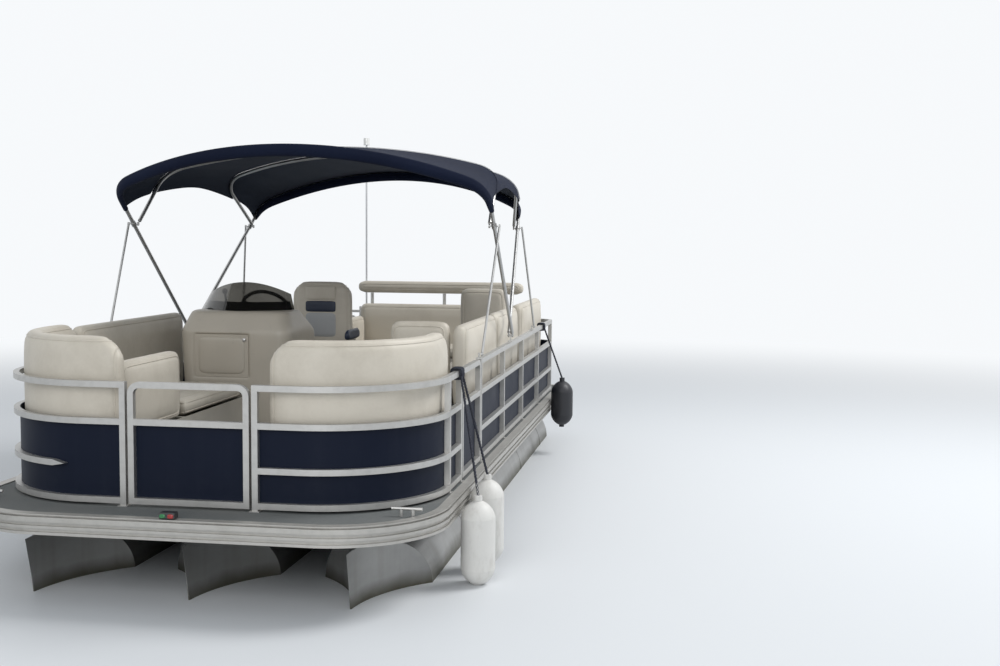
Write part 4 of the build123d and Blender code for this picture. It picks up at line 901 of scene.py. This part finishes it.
class Bow:
    """A bimini bow's curve: a plane that leans from its foot, legs, shoulder arcs and a crown arc."""

    shoulder = 0.240

    def __init__(self, y, z, lean, half_width, crown, rise):
        self.y = y
        self.z = z
        self.lean = math.radians(lean)
        self.half_width = half_width
        self.crown = crown
        self.rise = rise
        inner = half_width - self.shoulder
        self.crown_radius = (inner**2 + rise**2 - self.shoulder**2) / (2 * (rise - self.shoulder))

    def curve(self, offset, hem=hem_drop):
        """Points (x, up) from one hem to the other, at an offset outside the tube's centreline."""
        centre_x = self.half_width - self.shoulder
        centre_up = self.crown - self.rise
        crown_centre = self.crown - self.crown_radius
        swing = math.atan2(centre_x, centre_up - crown_centre)
        shoulder = self.shoulder + offset
        crown = self.crown_radius + offset
        right = [(centre_x + shoulder, centre_up - hem * (1 - i / hem_steps)) for i in range(hem_steps)]
        for i in range(shoulder_steps):
            angle = (math.pi / 2 - swing) * i / shoulder_steps
            right.append((centre_x + shoulder * math.cos(angle), centre_up + shoulder * math.sin(angle)))
        for i in range(crown_steps):
            angle = swing * (1 - i / crown_steps)
            right.append((crown * math.sin(angle), crown_centre + crown * math.cos(angle)))
        left = [(-x, up) for x, up in right]
        return np.array(left + [(0, crown_centre + crown)] + right[::-1])

    def lifted(self, flat, ahead=0.0):
        """Points (x, up) of the plane in the boat's frame, moved square to the plane."""
        x, up = flat.T
        y = self.y + up * math.sin(self.lean) + ahead * math.cos(self.lean)
        z = self.z + up * math.cos(self.lean) - ahead * math.sin(self.lean)
        return np.stack([x, y, z], 1)


BOWS = {
    # y and z of its foot, lean aft in degrees, half width, reach of its crown, rise of its crown
    "front": Bow(0.170, 1.502, -49, 1.258, 1.9404, 0.500),
    "front_inner": Bow(-0.73649, 2.290, 48, 1.212, 0.8145, 0.420),
    "rear_inner": Bow(1.17859, 2.290, -50, 1.165, 0.8479, 0.440),
    "rear": Bow(0.170, 1.502, 52, 1.118, 2.0433, 0.560),
}


def towards_ends(row):
    """0 in the middle of a row of cloth, and 1 at both of its ends."""
    return np.abs(np.linspace(-1, 1, len(row)))


def mixed_rows(first, second, share):
    return first + (second - first) * share[:, None]


def around_bow(bow, outward, reach, angle):
    """A row of cloth beside a bow, at a reach from its tube's centre and an angle in its section."""
    return bow.lifted(bow.curve(reach * math.sin(angle)), outward * reach * math.cos(angle))


def wrapped_edge(bow, outward):
    """Rows of the pocket round a bow's tube, from under it to over it: it hangs loose below the crown."""
    rows = []
    radius = bow_tube + cloth_gap
    end = math.pi / 2 + abs(bow.lean)
    straight_down = abs(bow.lean) - math.pi / 2
    for step in range(wrap_steps):
        angle = pocket_start + (end - pocket_start) * step / (wrap_steps - 1)
        loose = radius + pocket_slack * max(0.0, math.cos(angle - straight_down)) ** 2
        tight_row = around_bow(bow, outward, radius, angle)
        loose_row = around_bow(bow, outward, loose, angle)
        rows.append(mixed_rows(tight_row, loose_row, 1 - towards_ends(tight_row)**5))
    return rows


def over_bow(bow, lift=0.0, hem=hem_drop):
    """A row of cloth that lies on a bow's crown and outside its legs."""
    height = bow_tube + cloth_gap + lift
    ahead = -height * math.sin(bow.lean)
    crown_row = bow.lifted(bow.curve(height * math.cos(bow.lean), hem), ahead)
    side_row = bow.lifted(bow.curve(height, hem), ahead)
    return mixed_rows(crown_row, side_row, towards_ends(crown_row)**6)


def trimmed(row, amount):
    """A row of cloth with an amount cut off both of its ends."""
    along = lengths_along(row)
    return at_lengths(row, along, amount + along * (1 - 2 * amount / along[-1]))


def sheet_between(first, second, name):
    """Rows from one bow to the other: straight lines that dip a little, with scalloped ends."""
    start = over_bow(first)
    end = over_bow(second)
    across = towards_ends(start)
    rows = []
    for step in range(sheet_rows + 1):
        share = step / sheet_rows
        row = start + (end - start) * share
        dip = 4 * share * (1 - share)
        row[:, 2] -= SAGS[name] * dip * (1 - across**6)
        row[:, 0] *= 1 - narrowing * dip * across**8
        row[:, 2] += ripple_depth * dip * np.sin(across * ripple_count + ripple_slant * share)
        rows.append(trimmed(row, SCALLOPS[name] * dip**0.75))
    return rows


def cloth_piece(name, rows):
    vertices = [vertex for row in rows for vertex in row]
    piece = mesh_piece(name, vertices, grid_faces(len(rows), len(rows[0])), cloth_outside)
    piece.data.materials.append(cloth_inside)
    shell = {"thickness": cloth_thickness, "offset": 0, "material_offset": 1}
    return modified(piece, SOLIDIFY=shell, SUBSURF={"levels": 1})


def seam_ribbon(name, bow, body):
    """The doubled seam over an inner bow, a flat band on the cloth."""
    middle = over_bow(bow, ribbon_lift, hem_drop - ribbon_half)
    rows = [middle + np.array([0, ahead, 0]) for ahead in (-ribbon_half, 0, ribbon_half)]
    return placed(cloth_piece(name, rows), body)


def add_canopy():
    front, front_inner, rear_inner, rear = BOWS.values()
    sheet_rows_of = {
        "front": wrapped_edge(front, -1) + sheet_between(front, front_inner, "front")[1:],
        "middle": sheet_between(front_inner, rear_inner, "middle"),
        "rear": sheet_between(rear_inner, rear, "rear")[:-1] + wrapped_edge(rear, 1)[::-1],
    }
    seams = [
        seam_ribbon("front_canopy_seam", front_inner, "front_inner_bow"),
        seam_ribbon("rear_canopy_seam", rear_inner, "rear_inner_bow"),
    ]
    sheets = {}
    for name, rows in sheet_rows_of.items():
        piece = cloth_piece(f"canopy_{name}_sheet", rows)
        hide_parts(f"canopy_{name}")
        sheets[name] = piece
    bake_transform(sheets["front"])
    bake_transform(sheets["rear"])
    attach(sheets["middle"], "front_inner_bow")
    line = front_inner.lifted(front_inner.curve(0))
    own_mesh(sheets["middle"])


# The console as one moulding, its edges rounded above the deck and sharp round its door
console_voxel = 0.009
console_rounds = 55
sharp_near_door = 0.012
soft_from_door = 0.075
sharp_above_deck = 0.02
soft_band = 0.08


def add_moulded_console():
    piece = mesh_piece("console_moulding", *split_node("console")[0], MATERIALS["console_shell"])
    modified(piece, REMESH={"mode": "VOXEL", "voxel_size": console_voxel})
    points = vectors(piece.data)
    door_low, door_high = (np.array(corner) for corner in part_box("console_door"))
    outside = np.maximum(np.maximum(door_low - points, points - door_high), 0)
    from_door = np.linalg.norm(outside, axis=1)
    soft = np.clip((points[:, 2] - deck_top - sharp_above_deck) / soft_band, 0, 1)
    soft *= np.clip((from_door - sharp_near_door) / (soft_from_door - sharp_near_door), 0, 1)
    group = piece.vertex_groups.new(name="rounded")
    for index, weight in enumerate(soft):
        group.add([index], float(weight), "REPLACE")
    modified(piece, SMOOTH={"factor": 0.5, "iterations": console_rounds, "vertex_group": "rounded"})
    smooth_shaded(piece.data)
    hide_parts("console")
    placed(piece, "hull")


# Crowned panels, turned pieces and small blocks
panel_sides = 56
panel_sink = 0.004
PANEL_RINGS = (0.3, 0.55, 0.75, 0.88, 0.95, 0.985, 1.0)
BLOCK_FACES = ((0, 1, 3, 2), (4, 6, 7, 5), (0, 4, 5, 1), (2, 3, 7, 6), (0, 2, 6, 4), (1, 5, 7, 3))


def raised_panel(name, centre, size, squareness, body, slot, material=None):
    """A crowned panel with rounded corners that faces the bow: its rim sunk a little, its middle proud."""
    centre = Vector(centre)
    half_x, half_z, depth = size
    sides = panel_sides
    vertices = [centre + Vector((0, -depth, 0))]
    for ring in PANEL_RINGS:
        lift = depth * (1 - ring**6) ** 0.5
        for angle in ring_angles(sides):
            c, s = math.cos(angle), math.sin(angle)
            x = math.copysign(abs(c) ** (2 / squareness), c) * half_x * ring
            z = math.copysign(abs(s) ** (2 / squareness), s) * half_z * ring
            vertices.append(centre + Vector((x, -lift, z)))
    vertices += [v + Vector((0, panel_sink, 0)) for v in vertices[-sides:]]
    faces = [(0, 1 + step, 1 + (step + 1) % sides) for step in range(sides)]
    for base in range(1, len(vertices) - sides, sides):
        for step in range(sides):
            following = (step + 1) % sides
            faces.append((base + step, base + sides + step, base + sides + following, base + following))
    faces.append(end_faces(len(vertices) - sides, 0, sides)[0])
    return placed(mesh_piece(name, vertices, faces, material or MATERIALS[slot]), body)


def turned_piece(name, places, axis, profile, body, slot, material=None, sides=28):
    """Turned shapes as one mesh, alike but for their places; the profile is (radius, height) points."""
    axis = Vector(axis).normalized()
    first = axis.orthogonal().normalized()
    second = axis.cross(first)
    vertices = []
    faces = []
    for origin in places:
        base = len(vertices)
        for radius, height in profile:
            for angle in ring_angles(sides):
                outward = first * math.cos(angle) + second * math.sin(angle)
                vertices.append(Vector(origin) + outward * radius + axis * height)
        last = len(vertices) - sides
        for ring in range(base, last, sides):
            faces += ring_faces(ring, ring + sides, sides)
        faces += end_faces(base, last, sides)
    return placed(mesh_piece(name, vertices, faces, material or MATERIALS[slot]), body)


def bars_piece(name, bars, body, slot, bevel, material=None):
    """Bevelled bars as one mesh: each a centre, three directions and three half sizes."""
    vertices = []
    faces = []
    for centre, directions, half in bars:
        base = len(vertices)
        for signs in itertools.product((-1, 1), repeat=3):
            offsets = [way * size * sign for way, size, sign in zip(directions, half, signs)]
            vertices.append(Vector(centre) + sum(offsets, Vector()))
        faces += [tuple(base + index for index in face) for face in BLOCK_FACES]
    piece = mesh_piece(name, vertices, faces, material or MATERIALS[slot], smooth=False)
    return placed(modified(piece, BEVEL={"width": bevel, "segments": 2}), body)


# The dash: gauges, switches and a cup holder on the slope behind the screen, and the wheel's cap
dash_top = Vector((0, -0.3725, 1.700))
dash_down = Vector((0, 0.787, -0.617)).normalized()
dash_right = Vector((1, 0, 0))
dash_out = dash_right.cross(dash_down) * -1
gauge_places = ((-0.66, 0.085), (-0.59, 0.062), (-0.52, 0.055), (-0.45, 0.062), (-0.38, 0.085))
gauge_sink = 0.006
tick_turn = 30
tick_reach = 0.020
tick_height = 0.0080
tick_half = (0.0022, 0.0005, 0.0004)
first_needle = -45
needle_turn = 25
needle_reach = 0.007
needle_height = 0.0086
needle_half = (0.010, 0.0006, 0.0005)
plate_place = (-0.275, 0.10, -0.001)
plate_half = (0.052, 0.040, 0.005)
switch_half = (0.011, 0.013, 0.005)
switch_pitch = 0.034
switch_height = 0.005
cup_place = (-0.275, 0.215, -0.012)
hub_place = (-0.52, -0.12351, 1.65608)
hub_axis = (0, 0.819152, 0.573576)
# Turned shapes as (radius, height) points
GAUGE_RIM = ((0.030, 0), (0.030, 0.009), (0.028, 0.012), (0.025, 0.010), (0.024, 0.006))
GAUGE_FACE = ((0.024, 0.002), (0.024, 0.0075), (0.004, 0.0078))
CUP_WALL = ((0.045, 0), (0.046, 0.012), (0.044, 0.016))
CUP = CUP_WALL + ((0.040, 0.016), (0.038, 0.012), (0.036, 0.004), (0.034, 0.001))
HUB = ((0.047, 0.004), (0.047, 0.010), (0.040, 0.018), (0.024, 0.023), (0.006, 0.025))
LATCH = ((0.013, 0), (0.013, 0.006), (0.010, 0.0085), (0.003, 0.0085))


def on_dash(x, down, proud):
    return Vector((x, 0, 0)) + dash_top + dash_down * down + dash_out * proud


def dial_bar(place, degrees, reach, height, half):
    """A bar on a gauge that points away from its middle, at an angle from straight up."""
    angle = math.radians(degrees)
    outward = dash_right * math.sin(angle) - dash_down * math.cos(angle)
    middle = place + outward * reach + dash_out * height
    return middle, (outward, outward.cross(dash_out), dash_out), half


def add_gauges():
    places = [on_dash(x, down, -gauge_sink) for x, down in gauge_places]
    marks = []
    for number, place in enumerate(places):
        for degrees in range(-120, 121, tick_turn):
            marks.append(dial_bar(place, degrees, tick_reach, tick_height, tick_half))
        degrees = first_needle + needle_turn * number
        marks.append(dial_bar(place, degrees, needle_reach, needle_height, needle_half))
    turned_piece("gauge_rims", places, dash_out, GAUGE_RIM, "hull", "pedestal_metal")
    turned_piece("gauge_faces", places, dash_out, GAUGE_FACE, "hull", "black_trim", dial_face)
    bars_piece("gauge_marks", marks, "hull", "black_trim", 0.0001, dial_mark)


def add_switches():
    axes = (dash_right, dash_down, dash_out)
    blocks = [(on_dash(*plate_place), axes, plate_half)]
    for column, row in itertools.product((-1, 0, 1), (-0.5, 0.5)):
        x = plate_place[0] + switch_pitch * column
        down = plate_place[1] + switch_pitch * row
        blocks.append((on_dash(x, down, switch_height), axes, switch_half))
    bars_piece("dash_switches", blocks, "hull", "black_trim", 0.0018)


def add_dash():
    add_gauges()
    add_switches()
    turned_piece("cup_holder", [on_dash(*cup_place)], dash_out, CUP, "hull", "black_trim")
    turned_piece("wheel_hub_cap", [hub_place], hub_axis, HUB, "steering_wheel", "black_trim")


# The black hood inside the foot of the screen
screen_wall = 0.005
screen_foot_sag = 0.210
screen_top_sag = 0.140
screen_top_half = 0.262
screen_lean = 0.160
screen_rise = 0.192
hood_foot = 0.001
hood_height = 0.056
hood_gap = 0.004
hood_wall = 0.007
hood_share = 0.96
hood_points = 41
hood_rows = 5


def add_dash_hood():
    low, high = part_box("windscreen")
    middle = (low.x + high.x) / 2
    foot_half = (high.x - low.x - screen_wall) / 2
    vertices = []
    for row in range(hood_rows):
        height = hood_foot + hood_height * row / (hood_rows - 1)
        share = height / screen_rise
        half = foot_half + (screen_top_half - foot_half) * share
        sag = screen_foot_sag + (screen_top_sag - screen_foot_sag) * share
        radius = (half**2 + sag**2) / (2 * sag)
        swing = math.asin(half / radius) * hood_share
        centre_y = low.y + screen_wall / 2 + screen_lean * share + radius
        reach = radius - screen_wall / 2 - hood_gap
        for point in range(hood_points):
            angle = swing * (2 * point / (hood_points - 1) - 1)
            x = middle + reach * math.sin(angle)
            vertices.append((x, centre_y - reach * math.cos(angle), low.z + height))
    piece = mesh_piece("dash_hood", vertices, grid_faces(hood_rows, hood_points), MATERIALS["black_trim"])
    modified(piece, SOLIDIFY={"thickness": hood_wall, "offset": -1}, BEVEL={"width": 0.002, "segments": 3})
    placed(piece, "hull")


# Rubber seals round the motor's cowl, where its hood meets its pan
leg_way = np.array((0, 0.866025, -0.5))
cowl_voxel = 0.008
seal_places = (0.66, 0.80)
seal_radius = 0.0035


def along_leg(points):
    return points @ leg_way


def add_cowl_seals():
    guide = mesh_piece("cowl_guide", *split_node("motor_cowl")[0], MATERIALS["black_trim"])
    modified(guide, REMESH={"mode": "VOXEL", "voxel_size": cowl_voxel})
    along = along_leg(vectors(guide.data))
    runs = []
    for share in seal_places:
        value = along.min() + share * (along.max() - along.min())
        runs += isolines(guide.data, along_leg, value, everywhere)
    bpy.data.objects.remove(guide)
    seals = tubes("cowl_seals", runs, seal_radius, MATERIALS["black_trim"])
    placed(seals, "motor")


# The console's front: a raised panel on its door and a round latch
door_panel_size = (0.165, 0.125, 0.009)
door_panel_shift = 0.004
door_panel_sink = 0.0052
latch_inset = (0.030, -0.0045, 0.036)


def add_door_panel():
    low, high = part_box("console_door")
    centre = ((low.x + high.x) / 2 + door_panel_shift, low.y + door_panel_sink, (low.z + high.z) / 2)
    raised_panel("door_panel", centre, door_panel_size, 7, "console_door", "console_shell")
    latch = (high.x - latch_inset[0], low.y - latch_inset[1], high.z - latch_inset[2])
    turned_piece("door_latch", [latch], (0, -1, 0), LATCH, "console_door", "pedestal_metal")


# Inlays of the helm chair's back: headrest, dark band and centre pad
inlay_y = 0.828
inlay_half = 0.128
inlay_depth = 0.016
INLAYS = (
    # name, bottom, top, material
    ("chair_headrest", 1.700, 1.815, MATERIALS["seat_vinyl"]),
    ("chair_band", 1.606, 1.696, navy_vinyl),
    ("chair_pad", 1.405, 1.602, grey_vinyl),
)


def add_chair_inlays():
    low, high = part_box("chair_cushions")
    for name, bottom, top, material in INLAYS:
        centre = ((low.x + high.x) / 2, inlay_y, (bottom + top) / 2)
        size = (inlay_half, (top - bottom) / 2, inlay_depth)
        raised_panel(name, centre, size, 8, "helm_chair", "seat_vinyl", material)


# Lines of the fenders: laid strands over the straight run, and turns round the rail
fender_radius = 0.095
rail_middle = rail_top - rail_tube / 2
hitch_x = fence_side + rail_tube / 2 + 0.008
strand_offset = 0.0046
strand_radius = 0.0033
strand_pitch = 0.055
strand_step = 0.006
rail_turn_count = 3
rail_turn_steps = 40
rail_turn_reach = rail_tube / 2 + 0.0145
rail_turn_pitch = 0.0125
rail_turn_radius = 0.006
FENDER_LINES = (
    # name, y of the fender, height of its eye, y of the hitch
    ("bow_line_near", -2.220, 0.806, -1.880),
    ("bow_line_far", -1.920, 0.866, -1.840),
    ("stern_line", 1.950, 0.991, 1.950),
)


def laid_line(name, start, end):
    length = float(np.linalg.norm(end - start))
    along = (end - start) / length
    first = np.cross(along, (0.2, 0.9, 0.1))
    first /= np.linalg.norm(first)
    second = np.cross(along, first)
    places = np.linspace(0, length, int(length / strand_step))
    strands = []
    for strand in range(3):
        turn = 2 * math.pi * (places / strand_pitch + strand / 3)
        ring = np.outer(np.cos(turn), first) + np.outer(np.sin(turn), second)
        strands.append(start + np.outer(places, along) + ring * strand_offset)
    placed(tubes(name, strands, strand_radius, dark_rope), "hull")


def rail_turns(name, y):
    """Turns of line round the top rail, square with round corners."""
    steps = rail_turn_count * rail_turn_steps
    turn = np.linspace(0, 2 * math.pi * rail_turn_count, steps)
    c, s = np.cos(turn), np.sin(turn)
    reach = rail_turn_reach / (np.abs(c) ** 5 + np.abs(s) ** 5) ** 0.2
    along = rail_turn_pitch * (np.linspace(0, rail_turn_count, steps) - rail_turn_count / 2)
    run = np.stack([fence_side + reach * c, y + along, rail_middle + reach * s], 1)
    placed(tubes(name, [run], rail_turn_radius, dark_rope), "hull")


def add_lines():
    fender_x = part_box("stern_fender")[1].x - fender_radius
    for name, y, eye, tie in FENDER_LINES:
        laid_line(name, np.array([fender_x, y, eye]), np.array([hitch_x, tie, rail_middle]))
        rail_turns(f"{name}_turns", tie)


# Weld beads round the pontoons, clear of the risers
pontoon_radius = 0.305
pontoon_axis = 0.317
pontoon_places = (0.870, 0.0, -0.870)
bead_places = (-1.25, -0.03, 1.19, 2.41)
bead_radius = 0.0035
bead_lift = 0.0005
bead_angles = np.radians(np.linspace(112, 428, 90))


def add_weld_beads():
    reach = pontoon_radius + bead_lift
    x = reach * np.cos(bead_angles)
    z = pontoon_axis + reach * np.sin(bead_angles)
    rings = []
    for middle, y in itertools.product(pontoon_places, bead_places):
        rings.append(np.stack([middle + x, np.full(len(x), y), z], 1))
    placed(tubes("weld_beads", rings, bead_radius, MATERIALS["hull_aluminium"]), "hull")


# Lenses of the bow light
lens_from_middle = 0.021
lens_sink = 0.001
lens_size = (0.016, 0.011, 0.006)


def add_bow_lenses():
    low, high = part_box("bow_light")
    middle = (low.x + high.x) / 2
    height = (low.z + high.z) / 2
    for name, side, material in (("port_lens", 1, red_lens), ("starboard_lens", -1, green_lens)):
        centre = (middle + side * lens_from_middle, low.y + lens_sink, height)
        raised_panel(name, centre, lens_size, 3, "hull", "light_housing", material)


bpy.context.scene.view_settings.view_transform = "Standard"
add_camera()
add_world()
add_lamps()
add_floor()
finish_nodes()
add_cushions()
add_canopy()
add_moulded_console()
add_dash()
add_dash_hood()
add_cowl_seals()
add_door_panel()
add_chair_inlays()
add_lines()
add_weld_beads()
add_bow_lenses()
